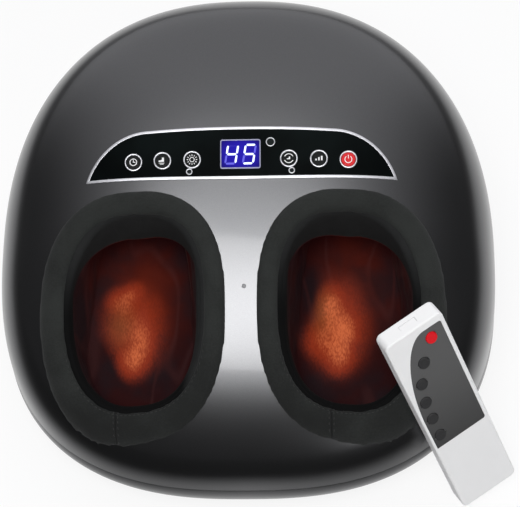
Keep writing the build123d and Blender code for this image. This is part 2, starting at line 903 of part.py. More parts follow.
def make_air_system():
    """Diaphragm pump and valve block on the base, and one hose from the valves to each bladder."""
    x, y = pump_place
    pump = block(pump_size[0], pump_size[1], floor_top, floor_top + pump_size[2], x, y)
    pump = fillet(pump.edges().filter_by(Axis.Z), pump_round)
    pump = pump + rod(pump_head_radius, floor_top, floor_top + pump_size[2] + pump_head, x, y)
    save("air_pump", pump)
    valve_top = floor_top + valve_size[2]
    valves = block(valve_size[0], valve_size[1], floor_top, valve_top, 0, valve_y)
    for side in (-1, 1):
        valves = valves + rod(nipple_radius, valve_top, valve_top + nipple_length, side * nipple_x, valve_y)
    save("valve_block", valves)
    hoses = []
    for side in (-1, 1):
        x = side * (head_x - bladder_half_width / 2)
        z = sole_low + pocket_height + seat_gap + bladder_height / 2
        end = deck_plane.from_local_coords(Vector(x, bladder_high + seat_gap, z))
        lead = deck_plane.from_local_coords(Vector(x, bladder_high + hose_lead, z))
        start = Vector(side * nipple_x, valve_y, valve_top + seat_gap)
        corner = Vector(side * nipple_x, valve_y, valve_top + hose_rise)
        path = FilletPolyline(start, corner, lead, end, radius=hose_bend)
        tube = sweep(Plane(start, z_dir=(0, 0, 1)) * Circle(hose_radius), path)
        bore = sweep(Plane(start, z_dir=(0, 0, 1)) * Circle(nipple_radius + running_clearance), path)
        hoses.append(tube - bore)
        run = (corner - start).length + (lead - corner).length + (end - lead).length
        print("hose length about", round(run, 1))
    save("air_hoses", group(hoses))


def make_electrics():
    """Main board on standoffs, its tall components, and the power inlet in the back wall."""
    x, y = main_board_place
    board_low = floor_top + standoff
    top = board_low + board_thickness
    board = block(main_board_size[0], main_board_size[1], board_low, top, x, y)
    for dx in (-1, 1):
        for dy in (-1, 1):
            spot_x = x + dx * (main_board_size[0] / 2 - 2 * standoff_radius)
            spot_y = y + dy * (main_board_size[1] / 2 - 2 * standoff_radius)
            board = board + rod(standoff_radius, floor_top, board_low, spot_x, spot_y)
    save("main_board", board)
    width, length, height = transformer_size
    part_x = part_x_share * main_board_size[0]
    front_y = y - front_part_y_share * main_board_size[1]
    transformer = block(width, length, top, top + height, x - part_x, front_y)
    core_length, core_height = core_length_share * length, core_height_share * height
    transformer = transformer + block(width / 2, core_length, top, top + core_height, x - part_x, front_y)
    capacitor = rod(capacitor_radius, top, top + capacitor_height, x + part_x, front_y)
    capacitor = chamfer(capacitor.edges().sort_by(Axis.Z)[-1], capacitor_edge)
    width, length, height = heat_sink_size
    sink = block(width, length, top, top + height, x, y + heat_sink_y_share * main_board_size[1])
    save("board_components", group([transformer, capacitor, sink]))

    flange = block(
        inlet_width + 2 * inlet_flange, inlet_height + 2 * inlet_flange, 0, inlet_flange_thickness
    )
    flange = fillet(flange.edges().filter_by(Axis.Z), inlet_flange)
    inlet = flange + block(inlet_width, inlet_height, -inlet_depth, 0)
    floor = inlet_flange_thickness - inlet_socket_depth
    socket = block(
        inlet_width - 2 * inlet_socket_wall, inlet_height - 2 * inlet_socket_wall, floor, overrun
    )
    socket = fillet(socket.edges().filter_by(Axis.Z), inlet_height / 2 - inlet_socket_wall - lens_gap)
    inlet = inlet - socket
    for side in (-1, 1):
        inlet = inlet + rod(inlet_pin_radius, floor, floor + inlet_pin_length, side * inlet_pin_half_span)
    save("power_inlet", inlet_plane.location * inlet)


# Remote control

def remote_turned():
    return Rot(Z=remote_turn) * Rot(X=remote_lean) * Rot(Y=remote_roll)


def turned_point(x, y, z):
    moved = remote_turned() * Pos(x, y, z)
    return moved.position


def collar_lift(x, y):
    """How far a collar stands off the dome over a point of the plan, or nothing outside it."""
    across = abs(abs(x) - collar_x) / (collar_half_width + remote_clearance)
    along = abs(y - collar_y) / (collar_half_length + remote_clearance)
    share = (across ** outer_side_power + along ** outer_side_power) ** (1 / outer_side_power)
    if share >= 1:
        return 0.0
    inwards = (1 - share) * collar_half_width
    return collar_side + (collar_crown - collar_side) * min(1.0, inwards / collar_shoulder)


def remote_place():
    """Lean the remote on the shoulder: its lowest corner on the floor, its back just off the dome."""
    across = [remote_half_width * step / across_steps for step in range(-across_steps, across_steps + 1)]
    along = [remote_half_length * step / along_steps for step in range(-along_steps, along_steps + 1)]
    back = [turned_point(x, y, -remote_thickness) for x in across for y in along]
    face = [turned_point(x, -remote_half_length, 0) for x in across]
    lift = -min(point.Z for point in back + face)
    near, far = 0.0, 2 * half_width + 2 * back_reach

    def clears(distance):
        for point in back:
            x = point.X + distance * cos(radians(remote_bearing))
            y = point.Y + distance * sin(radians(remote_bearing))
            growth = remote_clearance + collar_lift(x, y)
            share = dome_share(x, y, growth)
            rise = max(0.0, point.Z + lift - widest_height)
            rise = rise / (crown_rise + growth + lean_share * y)
            if share ** dome_power + rise ** dome_power < 1:
                return False
        return True

    for step in range(place_steps):
        middle = (near + far) / 2
        if clears(middle):
            far = middle
        else:
            near = middle
    x = far * cos(radians(remote_bearing))
    y = far * sin(radians(remote_bearing))
    return Pos(x, y, lift) * remote_turned()


remote_frame = remote_place()


def remote_outline(inset):
    plan = Rectangle(2 * (remote_half_width - inset), 2 * (remote_half_length - inset))
    return fillet(plan.vertices(), remote_corner - inset)


def slab(plan, low, high):
    return extrude(Pos(0, 0, low) * plan, amount=high - low)


def plate_outline(inset):
    """Face plate: straight on three sides, with its upper left swept away by a long elliptic arc."""
    left, right = -plate_left + inset, plate_right - inset
    low, high = plate_bottom + inset, plate_top - inset
    shoulder = Vector(plate_shoulder_x, plate_shoulder_y)
    sweep_plane = Plane(origin=(shoulder.X, shoulder.Y, 0))
    arc = Edge.make_ellipse(
        shoulder.X - left, high - shoulder.Y, plane=sweep_plane, start_angle=90, end_angle=180
    )
    edges = [
        Edge.make_line(Vector(left, shoulder.Y), Vector(left, low)),
        Edge.make_line(Vector(left, low), Vector(right, low)),
        Edge.make_line(Vector(right, low), Vector(right, high)),
        Edge.make_line(Vector(right, high), Vector(shoulder.X, high)),
    ]
    plan = Face(Wire([arc] + edges))
    corners = plan.vertices().sort_by(Axis.X)[-2:]
    return fillet(corners, plate_corner)


def key_place(index):
    return key_across_shares[index] * remote_half_width, key_along_shares[index] * remote_half_length


def key_hole(index, growth):
    x, y = key_place(index)
    return Pos(x, y) * Ellipse(key_half_width + growth, key_half_length + growth)


key_names = ("power", "mode", "heat", "air", "intensity", "time")


def make_remote():
    """Two shells, face plate, keys, board, cells with contacts, sliding door and window."""
    split = -remote_split
    front = slab(remote_outline(0.0), split, 0.0)
    front = fillet(front.faces().sort_by(Axis.Z)[-1].edges(), remote_edge)
    front = front - slab(remote_outline(remote_wall), split, -remote_wall)
    front = front - slab(plate_outline(-lens_gap), -plate_depth, remote_wall)
    back = slab(remote_outline(0.0), -remote_thickness, split)
    back = fillet(back.faces().sort_by(Axis.Z)[0].edges(), remote_edge)
    back = back - slab(remote_outline(remote_wall), remote_wall - remote_thickness, split)
    plate = slab(plate_outline(0.0), -plate_depth, 0.0)
    for index in range(len(key_names)):
        hole = slab(key_hole(index, key_gap), -remote_split, remote_wall)
        front = front - hole
        plate = plate - hole
    nose = remote_half_length - remote_wall / 2
    opening = Pos(0, nose, split) * Box(2 * window_half_width, 2 * remote_wall, window_height)
    front = front - opening
    back = back - opening
    door_length = door_high + remote_half_length
    bay = block(
        2 * (door_half_width + door_gap), door_length + door_gap + remote_wall,
        -remote_thickness - remote_wall,
        -remote_thickness + door_thickness + door_gap, 0,
        (door_high + door_gap - remote_half_length - remote_wall) / 2,
    )
    well = block(
        2 * (door_half_width - door_rest), cell_length + 2 * remote_wall, -remote_thickness, split, 0, cell_y
    )
    back = back - bay - well
    save("remote_front_shell", remote_frame * front)
    save("remote_back_shell", remote_frame * back)
    save("remote_face_plate", remote_frame * plate)

    for index, key in enumerate(key_names):
        stem_low = -remote_board_depth + key_travel + seat_gap
        flange_top = -remote_wall - seat_gap
        cap = slab(key_hole(index, 0.0), flange_top - key_flange_thickness, key_proud)
        cap = fillet(cap.faces().sort_by(Axis.Z)[-1].edges(), button_edge)
        cap = cap + slab(key_hole(index, key_flange), flange_top - key_flange_thickness, flange_top)
        cap = cap + rod(key_stem_radius, stem_low, flange_top, *key_place(index))
        save("remote_" + key + "_key", remote_frame * cap)

    board_plan = remote_outline(remote_wall + seat_gap)
    board_low = -remote_board_depth - board_thickness
    board = slab(board_plan, board_low, -remote_board_depth)
    board = board - block(
        4 * remote_half_width, remote_half_length, board_low, 0, 0, remote_board_low - remote_half_length / 2
    )
    save("remote_board", remote_frame * board)

    window = Pos(0, nose, split) * Box(
        2 * window_half_width - 2 * door_gap, window_thickness, window_height - 2 * door_gap
    )
    save("remote_window", remote_frame * window)

    cell_z = door_thickness + seat_gap + cell_radius - remote_thickness
    cells = []
    contacts = []
    for side in (-1, 1):
        cell = Pos(side * cell_spacing / 2, cell_y, cell_z) * Rot(X=90 * side)
        body = Pos(0, 0, -cell_length / 2) * rod(cell_radius, 0, cell_length - cell_nub)
        nub = Pos(0, 0, -cell_length / 2) * rod(cell_nub_radius, cell_length - cell_nub, cell_length)
        cells.append(remote_frame * cell * (body + nub))
        for end in (-1, 1):
            y = cell_y + end * (cell_length / 2 + contact_gap + contact_thickness / 2)
            tab = Pos(side * cell_spacing / 2, y, cell_z) * Box(
                2 * cell_radius - seat_gap, contact_thickness, 2 * cell_radius
            )
            contacts.append(remote_frame * tab)
    save("remote_batteries", group(cells))
    save("battery_contacts", group(contacts))

    door = block(
        2 * door_half_width, door_length, -remote_thickness, -remote_thickness + door_thickness, 0,
        (door_high - remote_half_length) / 2,
    )
    for step in range(door_grip_count):
        y = door_high - remote_wall * 2 - door_grip_pitch * step
        door = door - block(
            door_half_width, door_grip_width, -remote_thickness - door_grip_depth,
            -remote_thickness + door_grip_depth, 0, y,
        )
    save("remote_battery_door", remote_frame * door)


make_top_cover()
make_base()
make_feet()
make_screws()
make_panel()
for button_name in button_xs:
    make_button(button_name)
save("left_collar", collar(-1))
save("right_collar", collar(1))
make_boot(-1, "left")
make_boot(1, "right")
make_deck()
make_drive()
for head_name in head_places:
    make_head(head_name)
make_air_system()
make_electrics()
make_remote()
print(len(names), "pieces")
place = remote_frame.position
print("remote centre", round(place.X, 2), round(place.Y, 2), round(place.Z, 2))
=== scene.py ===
from contextlib import contextmanager
from math import atan2, copysign, cos, exp, hypot, pi, radians, sin, sqrt, tan

import bpy
from mathutils import Matrix, Vector


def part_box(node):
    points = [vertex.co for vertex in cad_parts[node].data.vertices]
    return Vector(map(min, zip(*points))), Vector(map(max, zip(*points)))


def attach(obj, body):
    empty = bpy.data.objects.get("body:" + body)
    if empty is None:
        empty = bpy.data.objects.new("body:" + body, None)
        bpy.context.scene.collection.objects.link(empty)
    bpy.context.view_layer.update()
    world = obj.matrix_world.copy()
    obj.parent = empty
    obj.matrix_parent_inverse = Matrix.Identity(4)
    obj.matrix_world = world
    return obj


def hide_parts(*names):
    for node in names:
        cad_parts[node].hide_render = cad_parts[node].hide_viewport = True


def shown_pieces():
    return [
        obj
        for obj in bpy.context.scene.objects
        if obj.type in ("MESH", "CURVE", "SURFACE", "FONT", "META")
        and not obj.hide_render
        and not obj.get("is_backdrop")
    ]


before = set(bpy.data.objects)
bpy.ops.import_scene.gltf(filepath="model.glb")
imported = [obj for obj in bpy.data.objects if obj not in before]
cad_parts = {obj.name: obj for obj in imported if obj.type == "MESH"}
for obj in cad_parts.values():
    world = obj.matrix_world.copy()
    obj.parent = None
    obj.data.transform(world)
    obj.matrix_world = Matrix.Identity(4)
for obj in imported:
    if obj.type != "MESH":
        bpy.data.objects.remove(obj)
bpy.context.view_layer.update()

# Base cover. The lower half of the housing is one dark moulded tray that tucks in towards the floor.
# Its underside has vent slots, wells for the long screws and, in the back wall, the inlet's seat.
mm = 0.001


def in_mm(*lengths):
    """Lengths that are given in millimetres."""
    return tuple(length * mm for length in lengths)


half_width, front_reach, back_reach = in_mm(200, 187, 204)
front_power, back_power = 2.55, 2.35
widest_height = 48 * mm
base_lift = 6 * mm
tuck_rings = ((6 * mm, 0.93), (24 * mm, 0.985), (48 * mm, 1.0))
wall = 3 * mm
parting_gap = 0.2 * mm
base_edge = 0.3 * mm
floor_radius_share = 0.6
skin_cells = 150
vent_count = 9
vent_pitch, vent_width, vent_length, vent_y = in_mm(9, 3.5, 46, 52)
screw_well_radius = 3.9 * mm
leg_wells = (in_mm(112, -100), in_mm(112, 62))
boss_wells = (in_mm(168, -58), in_mm(158, 98), in_mm(74, 172))
front_boss_y = -170 * mm
inlet_width, inlet_height, inlet_round, inlet_z = in_mm(31.3, 20.3, 2.5, 35)


def alone(piece):
    """Make a piece the only one that operators act on."""
    bpy.ops.object.select_all(action="DESELECT")
    piece.select_set(True)
    bpy.context.view_layer.objects.active = piece


@contextmanager
def edit_mode(piece):
    """Edit a piece's mesh, with all of it selected."""
    alone(piece)
    bpy.ops.object.mode_set(mode="EDIT")
    bpy.ops.mesh.select_all(action="SELECT")
    yield
    bpy.ops.object.mode_set(mode="OBJECT")


def start(name, primitive, **sizes):
    """Add a primitive with its place in its mesh."""
    bpy.ops.object.select_all(action="DESELECT")
    primitive(**sizes)
    piece = bpy.context.object
    piece.name = name
    bpy.ops.object.transform_apply(location=True, rotation=True, scale=True)
    return piece


def grid(name, across, along):
    """Flat grid that reaches from -1 to 1 both ways."""
    return start(name, bpy.ops.mesh.primitive_grid_add, x_subdivisions=across, y_subdivisions=along, size=2)


def polygon(name, points, height):
    """Flat face over an outline of plan points."""
    piece = start(name, bpy.ops.mesh.primitive_circle_add, vertices=len(points), fill_type="NGON")
    for vertex, point in zip(piece.data.vertices, points):
        vertex.co = (point[0], point[1], height)
    return piece


def reshape(piece, rule):
    """Move each vertex of a piece to where a rule puts it."""
    for vertex in piece.data.vertices:
        vertex.co = rule(vertex.co)
    piece.data.update()
    return piece


def moved(piece, matrix):
    """Move a piece's mesh by a matrix."""
    piece.data.transform(matrix)
    return piece


def modify(piece, kind, **settings):
    """Add a modifier to a piece and apply it."""
    alone(piece)
    modifier = piece.modifiers.new(kind.title(), kind)
    for key, value in settings.items():
        setattr(modifier, key, value)
    bpy.ops.object.modifier_apply(modifier=modifier.name)


def thicken(piece, thickness):
    """Give a skin its thickness, on its inner side."""
    modify(piece, "SOLIDIFY", thickness=thickness, offset=-1)


def ease(piece, width, angle):
    """Round the edges of a piece that are sharper than an angle in degrees."""
    modify(piece, "BEVEL", width=width, segments=3, limit_method="ANGLE", angle_limit=radians(angle))


def smooth(piece, angle=35):
    """Shade a piece smooth, but for edges sharper than an angle in degrees."""
    alone(piece)
    bpy.ops.object.shade_smooth_by_angle(angle=radians(angle))


def joined(name, pieces):
    """Join pieces into one."""
    alone(pieces[0])
    for piece in pieces:
        piece.select_set(True)
    bpy.ops.object.join()
    pieces[0].name = name
    return pieces[0]


def cut(piece, *tools):
    """Cut tools out of a piece, and throw them away."""
    for tool in tools:
        modify(piece, "BOOLEAN", operation="DIFFERENCE", solver="EXACT", object=tool)
        bpy.data.objects.remove(tool)


def flip(piece):
    """Turn the faces of a piece round."""
    with edit_mode(piece):
        bpy.ops.mesh.flip_normals()


def slab(name, points, low, high):
    """Upright plate or prism over an outline of plan points."""
    piece = polygon(name, points, low)
    with edit_mode(piece):
        bpy.ops.mesh.extrude_region_move(TRANSFORM_OT_translate={"value": (0, 0, high - low)})
        bpy.ops.mesh.select_all(action="SELECT")
        bpy.ops.mesh.normals_make_consistent(inside=False)
    return piece


def oblong(centre, width, length, radius, steps=6):
    """Outline of a rectangle with round corners, counter-clockwise."""
    points = []
    for corner, (side, end) in enumerate(((1, 1), (-1, 1), (-1, -1), (1, -1))):
        x = centre[0] + side * (width / 2 - radius)
        y = centre[1] + end * (length / 2 - radius)
        for step in range(steps + 1):
            angle = pi / 2 * (corner + step / steps)
            points.append((x + radius * cos(angle), y + radius * sin(angle)))
    return points


def tray_hole(x, y, width, length):
    """Cutter with round ends that goes up through the tray's floor."""
    points = oblong((x, y), width, length, width / 2 - 0.1 * mm)
    return slab("hole", points, 0, base_lift + 2 * wall)


def reach_at(angle, power):
    """Reach of a superellipse at an angle, as a share of its half axes."""
    return (abs(cos(angle)) ** power + abs(sin(angle)) ** power) ** (-1 / power)


def plan_spot(angle, share):
    """Place on the plan at an angle, at a share of the housing's outline."""
    in_front = sin(angle) < 0
    reach = share * reach_at(angle, front_power if in_front else back_power)
    return reach * half_width * cos(angle), reach * (front_reach if in_front else back_reach) * sin(angle)


def disc_spot(place):
    """Angle and radius on a disc of a spot on a square, so that a skin made of a grid has no pole."""
    x = place.x * sqrt(1 - place.y**2 / 2)
    y = place.y * sqrt(1 - place.x**2 / 2)
    return atan2(y, x), min(1.0, hypot(x, y))


def tuck(height):
    """Share of the outline that the tray's wall reaches at a height: a curve through its three rings."""
    total = 0.0
    for place, share in tuck_rings:
        weight = share
        for other, _ in tuck_rings:
            if other != place:
                weight *= (height - other) / (place - other)
        total += weight
    return total


def tray_spot(place):
    """Place on the tray's outer face: the floor in the middle of the disc, the wall round it."""
    angle, radius = disc_spot(place)
    if radius < floor_radius_share:
        share, height = tuck(base_lift) * radius / floor_radius_share, base_lift
    else:
        climb = (radius - floor_radius_share) / (1 - floor_radius_share)
        height = base_lift + climb * (widest_height - parting_gap - base_lift)
        share = tuck(height)
    return *plan_spot(angle, share), height


base_shell = reshape(grid("base_shell", skin_cells, skin_cells), tray_spot)
flip(base_shell)
thicken(base_shell, wall)
ease(base_shell, base_edge, 40)
holes = []
for side in (-1, 1):
    for step in range(1, vent_count + 1):
        holes.append(tray_hole(side * vent_pitch * step, vent_y, vent_width, vent_length))
    for x, y in leg_wells + boss_wells:
        holes.append(tray_hole(side * x, y, 2 * screw_well_radius, 2 * screw_well_radius))
holes.append(tray_hole(0, front_boss_y, 2 * screw_well_radius, 2 * screw_well_radius))
seat_outline = oblong((0, inlet_z), inlet_width, inlet_height, inlet_round)
inlet_seat = slab("seat", seat_outline, -back_reach - wall, -back_reach / 2)
moved(inlet_seat, Matrix.Rotation(radians(90), 4, "X"))
cut(base_shell, joined("holes", holes), inlet_seat)
smooth(base_shell)


class Level:
    """A value that varies over a surface. Sums and products of it add Math nodes."""

    def __init__(self, network, socket):
        self.network = network
        self.socket = socket

    def maths(self, operation, *values):
        return self.network.node("ShaderNodeMath", {"operation": operation}, dict(enumerate(values)))

    def __add__(self, other):
        return self.maths("ADD", self, other)

    __radd__ = __add__

    def __mul__(self, other):
        return self.maths("MULTIPLY", self, other)

    __rmul__ = __mul__

    def __sub__(self, other):
        return self.maths("SUBTRACT", self, other)

    def __rsub__(self, other):
        return self.maths("SUBTRACT", other, self)

    def __truediv__(self, other):
        return self.maths("DIVIDE", self, other)

    def __pow__(self, other):
        return self.maths("POWER", self, other)

    def size(self):
        return self.maths("ABSOLUTE", self)

    def at_most(self, other):
        return self.maths("MINIMUM", self, other)

    def at_least(self, other):
        return self.maths("MAXIMUM", self, other)

    def rise(self, low, high):
        """Smooth step from 0 at low to 1 at high."""
        sockets = {"Value": self, "From Min": low, "From Max": high}
        return self.network.node("ShaderNodeMapRange", {"interpolation_type": "SMOOTHSTEP"}, sockets)


class Network:
    """A tree of shader nodes."""

    def __init__(self, owner):
        owner.use_nodes = True
        self.tree = owner.node_tree

    def node(self, kind, settings=None, sockets=None, output=0):
        """Add a node with its settings and the values or links of its sockets."""
        node = self.tree.nodes.new(kind)
        for key, value in (settings or {}).items():
            setattr(node, key, value)
        for key, value in (sockets or {}).items():
            self.feed(node.inputs[key], value)
        return Level(self, node.outputs[output])

    def feed(self, socket, value):
        """Link a socket, or give it a plain value."""
        if isinstance(value, Level):
            self.tree.links.new(value.socket, socket)
        elif isinstance(value, tuple) and socket.type == "RGBA":
            socket.default_value = (*value, 1.0)
        else:
            socket.default_value = value

    def axes(self, place):
        """The three coordinates of a place, each as a value."""
        split = self.node("ShaderNodeSeparateXYZ", sockets={0: place}).socket.node
        return [Level(self, output) for output in split.outputs]


class Finish(Network):
    """One procedural material, drawn on the object's own coordinates in metres."""

    def __init__(self, name, **settings):
        self.material = bpy.data.materials.new(name)
        super().__init__(self.material)
        self.shader = self.tree.nodes["Principled BSDF"]
        self.place = self.node("ShaderNodeTexCoord", output="Object")
        self.wear(**settings)

    def wear(self, **settings):
        """Set the shader's sockets, named in lower case with underlines."""
        for key, value in settings.items():
            words = key.replace("_", " ").lower()
            socket = next(s for s in self.shader.inputs if s.name.lower() == words)
            self.feed(socket, value)

    def stretched(self, scale, turn=0.0):
        """The object's coordinates, turned about Z and scaled along each axis."""
        sockets = {"Vector": self.place, "Rotation": (0, 0, turn), "Scale": scale}
        return self.node("ShaderNodeMapping", None, sockets)

    def noise(self, scale, detail=2.0, place=None, roughness=0.5):
        sockets = {"Vector": place or self.place, "Scale": scale, "Detail": detail, "Roughness": roughness}
        return self.node("ShaderNodeTexNoise", None, sockets)

    def cells(self, scale, feature="F1"):
        sockets = {"Vector": self.place, "Scale": scale}
        return self.node("ShaderNodeTexVoronoi", {"feature": feature}, sockets)

    def tint(self, share, low, high):
        """Colour between two colours."""
        return self.node("ShaderNodeMix", {"data_type": "RGBA"}, {0: share, 6: low, 7: high}, 2)

    def relief(self, height, depth, strength=1.0):
        """Bump of a height from 0 to 1 over a depth in metres."""
        sockets = {"Height": height, "Distance": depth, "Strength": strength}
        self.wear(normal=self.node("ShaderNodeBump", None, sockets))

    def on(self, piece, slot=None):
        """Give a piece this finish."""
        piece.data.materials.clear()
        piece.data.materials.append(self.material)


def grey(level, blue=None):
    """Grey colour, or one whose blue differs."""
    return level, level, level if blue is None else blue


def clouded(name, scale, low, high, detail=2.0, **settings):
    """Finish whose colour wanders between two colours."""
    finish = Finish(name, **settings)
    finish.wear(base_color=finish.tint(finish.noise(scale, detail), low, high))
    return finish


def cad_finish(finish, *names):
    """Give CAD nodes a finish."""
    for name in names:
        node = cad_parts[name]
        for spot in node.material_slots:
            spot.material = finish.material
        if not node.material_slots:
            node.data.materials.append(finish.material)


housing_gloss = Finish("charcoal metallic gloss", metallic=0.96, coat_weight=0.25, coat_roughness=0.06)
fleck = housing_gloss.noise(1800.0)
cloud = housing_gloss.noise(9.0, 3.0)
housing_gloss.wear(
    base_color=housing_gloss.tint(fleck.rise(0.3, 0.7), (0.087, 0.0875, 0.0905), (0.098, 0.0985, 0.1015)),
    roughness=0.27 + 0.04 * cloud,
)
housing_gloss.relief(cloud, 0.05 * mm, 0.2)
housing_gloss.on(base_shell, "base_plastic")
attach(base_shell, "housing")
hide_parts("base_cover")

# Rubber feet, the screws and the power inlet under and behind the housing. The feet are moulded black
# rubber pads pressed into the tray, and the inlet is a two-pin socket in a glass-filled nylon shell.
foot_rubber = clouded(
    "matt foot rubber", 700.0, grey(0.012), grey(0.03), roughness=0.85, specular_ior_level=0.25
)
foot_rubber.relief(foot_rubber.noise(2500.0), 0.05 * mm, 0.6)
cad_finish(foot_rubber, "rubber_feet")
zinc_steel = Finish("brushed zinc steel", metallic=1.0)
drawn = zinc_steel.noise(220.0, 3.0, zinc_steel.stretched((1.0, 1.0, 14.0)))
zinc_steel.wear(
    base_color=zinc_steel.tint(drawn, grey(0.46, 0.48), grey(0.66, 0.68)),
    roughness=0.28 + 0.2 * drawn,
)
cad_finish(zinc_steel, "housing_screws", "head_axles", "motor_shaft", "gear_motor", "battery_contacts")
inlet_nylon = clouded(
    "black glass-filled nylon", 1200.0, grey(0.010, 0.011), grey(0.028, 0.03), 4.0, roughness=0.55
)
inlet_nylon.relief(inlet_nylon.noise(1500.0), 0.03 * mm, 0.5)
cad_finish(inlet_nylon, "power_inlet")

# Pump, valves, boards and their parts stand inside the tray, out of sight once the cover is on.
# They are plain working parts: moulded nylon, vinyl hose, green laminate and dark components.
pump_nylon = clouded("grey pump nylon", 300.0, grey(0.02, 0.022), grey(0.05, 0.055), 3.0, roughness=0.5)
cad_finish(pump_nylon, "air_pump", "valve_block", "panel_frame")
hose_vinyl = clouded(
    "milky hose vinyl", 120.0, grey(0.62, 0.58), grey(0.74, 0.70),
    roughness=0.35, subsurface_weight=0.2, coat_weight=0.3,
)
cad_finish(hose_vinyl, "air_hoses")
green_laminate = Finish("green board laminate", roughness=0.4, coat_weight=0.4)
tracks = green_laminate.cells(260.0, "DISTANCE_TO_EDGE").rise(0.02, 0.06)
green_laminate.wear(base_color=green_laminate.tint(tracks, (0.05, 0.16, 0.05), (0.012, 0.075, 0.03)))
cad_finish(green_laminate, "main_board", "control_board", "remote_board")
dark_epoxy = clouded("dark component epoxy", 500.0, grey(0.012, 0.015), grey(0.035, 0.04), roughness=0.6)
cad_finish(dark_epoxy, "board_components", "display_module", "tact_switches")

# Massage train. A ribbed nylon deck carries four ivory gear heads with grey rubber nodes, turned by
# one wide gear, and an amber heat lamp stands on each hollow axle.
deck_nylon = clouded("grey deck nylon", 160.0, grey(0.055, 0.06), grey(0.10, 0.11), 4.0, roughness=0.55)
deck_nylon.relief(deck_nylon.noise(900.0), 0.03 * mm, 0.5)
cad_finish(deck_nylon, "massage_deck")
gear_acetal = clouded(
    "ivory gear acetal", 90.0, (0.60, 0.57, 0.47), (0.72, 0.69, 0.60), 3.0,
    roughness=0.35, subsurface_weight=0.1,
)
node_rubber = clouded("grey node rubber", 250.0, (0.20, 0.17, 0.14), (0.30, 0.27, 0.24), roughness=0.7)
cad_finish(gear_acetal, "drive_gear")
for head in ("left_heel", "right_heel", "left_arch", "right_arch"):
    cad_finish(gear_acetal, head + "_head")
    cad_finish(node_rubber, head + "_nodes")
lamp_glass = Finish("amber lamp glass", roughness=0.12, emission_strength=2.0, coat_weight=1.0)
lamp_core = lamp_glass.noise(140.0)
lamp_glass.wear(
    base_color=lamp_glass.tint(lamp_core, (0.55, 0.10, 0.01), (0.80, 0.25, 0.04)),
    emission_color=lamp_glass.tint(lamp_core, (0.8, 0.16, 0.02), (1.0, 0.32, 0.06)),
)
cad_finish(lamp_glass, "heat_lamps")

# Air bladders. A pair of welded vinyl cushions lies above the toes, flat at the welded rim and
# swollen in the middle, and an air line feeds each one.
bladder_cells = 40
bladder_side_room, bladder_end_room = in_mm(0.5, 1.5)
least_swell = 0.04
deck_tilt = radians(10)
bladder_vinyl = clouded(
    "milky bladder vinyl", 60.0, grey(0.50, 0.54), grey(0.62, 0.66), 3.0,
    roughness=0.3, coat_weight=0.5, subsurface_weight=0.15,
)
bladder_vinyl.relief(bladder_vinyl.noise(220.0, 3.0), 0.4 * mm, 0.5)


def cushion_half(name, half_size, up):
    """Upper or lower skin of a cushion, before it is tilted."""

    def rule(place):
        swell = max((1 - place.x**4) * (1 - place.y**4), least_swell)
        return place.x * half_size[0], place.y * half_size[1], up * half_size[2] * swell**0.5

    return reshape(grid(name, bladder_cells, bladder_cells), rule)


for side_name in ("left", "right"):
    low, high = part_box(side_name + "_airbag")
    half_length = (high.y - low.y) / 2 / cos(deck_tilt) - bladder_end_room
    half_thickness = (high.z - low.z - 2 * half_length * sin(deck_tilt)) / cos(deck_tilt) / 2
    half_size = ((high.x - low.x) / 2 - bladder_side_room, half_length, half_thickness)
    upper = cushion_half(side_name + "_bladder", half_size, 1)
    under = cushion_half("under", half_size, -1)
    flip(under)
    bag = joined(side_name + "_bladder", [upper, under])
    with edit_mode(bag):
        bpy.ops.mesh.select_non_manifold()
        bpy.ops.mesh.bridge_edge_loops()
    moved(bag, Matrix.Translation((low + high) / 2) @ Matrix.Rotation(deck_tilt, 4, "X"))
    smooth(bag, 60)
    bladder_vinyl.on(bag, "bladder_vinyl")
    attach(bag, "housing")
    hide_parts(side_name + "_airbag")

# Top cover. One glossy grey moulding: a low dome, highest at the back, with two foot wells and the
# opening of the control panel cut through it. It meets the tray at the widest line.
dome_power = 3.2
crown_rise = 135 * mm
lean = 0.36
well_centre, well_half = in_mm(82, -79.5), in_mm(52, 69)
pillar_power, outer_power = 2.5, 2.15
well_powers = (outer_power, pillar_power, pillar_power, outer_power)
well_steps = 96
low_left, low_middle = Vector(in_mm(-120.5, 14.4)), Vector((0, 12.2 * mm))
side_middle = Vector(in_mm(-109.5, 33.4))
high_left, high_middle = Vector(in_mm(-70.5, 49.8)), Vector((0, 51 * mm))
low_steps, side_steps, high_steps = 60, 24, 40


def dome_height(x, y):
    """Height of the dome's outer face over a place on the plan."""
    power = front_power if y < 0 else back_power
    reach = front_reach if y < 0 else back_reach
    share = min(1.0, ((abs(x) / half_width) ** power + (abs(y) / reach) ** power) ** (1 / power))
    return widest_height + (1 - share**dome_power) ** (1 / dome_power) * (crown_rise + lean * y)


def cover_spot(place):
    """Place on the dome's outer face of a spot on a square."""
    angle, radius = disc_spot(place)
    share = abs(sin(pi / 2 * radius)) ** (2 / dome_power)
    rise = abs(cos(pi / 2 * radius)) ** (2 / dome_power)
    x, y = plan_spot(angle, share)
    return x, y, widest_height + rise * (crown_rise + lean * y)


def squarish(angle, centre, half, powers):
    """Place on an oval of the right side. Each quarter, from the outer back one on, has its own power."""
    quarter = int((angle % (2 * pi)) / (pi / 2)) % 4
    reach = reach_at(angle, powers[quarter])
    return centre[0] + half[0] * reach * cos(angle), centre[1] + half[1] * reach * sin(angle)


def well_edge(angle, growth=0.0):
    """Place on the edge of the right well, or a growth outside it."""
    return squarish(angle, well_centre, (well_half[0] + growth, well_half[1] + growth), well_powers)


def mirrored(point):
    """The same place on the other side."""
    return Vector((-point.x, point.y))


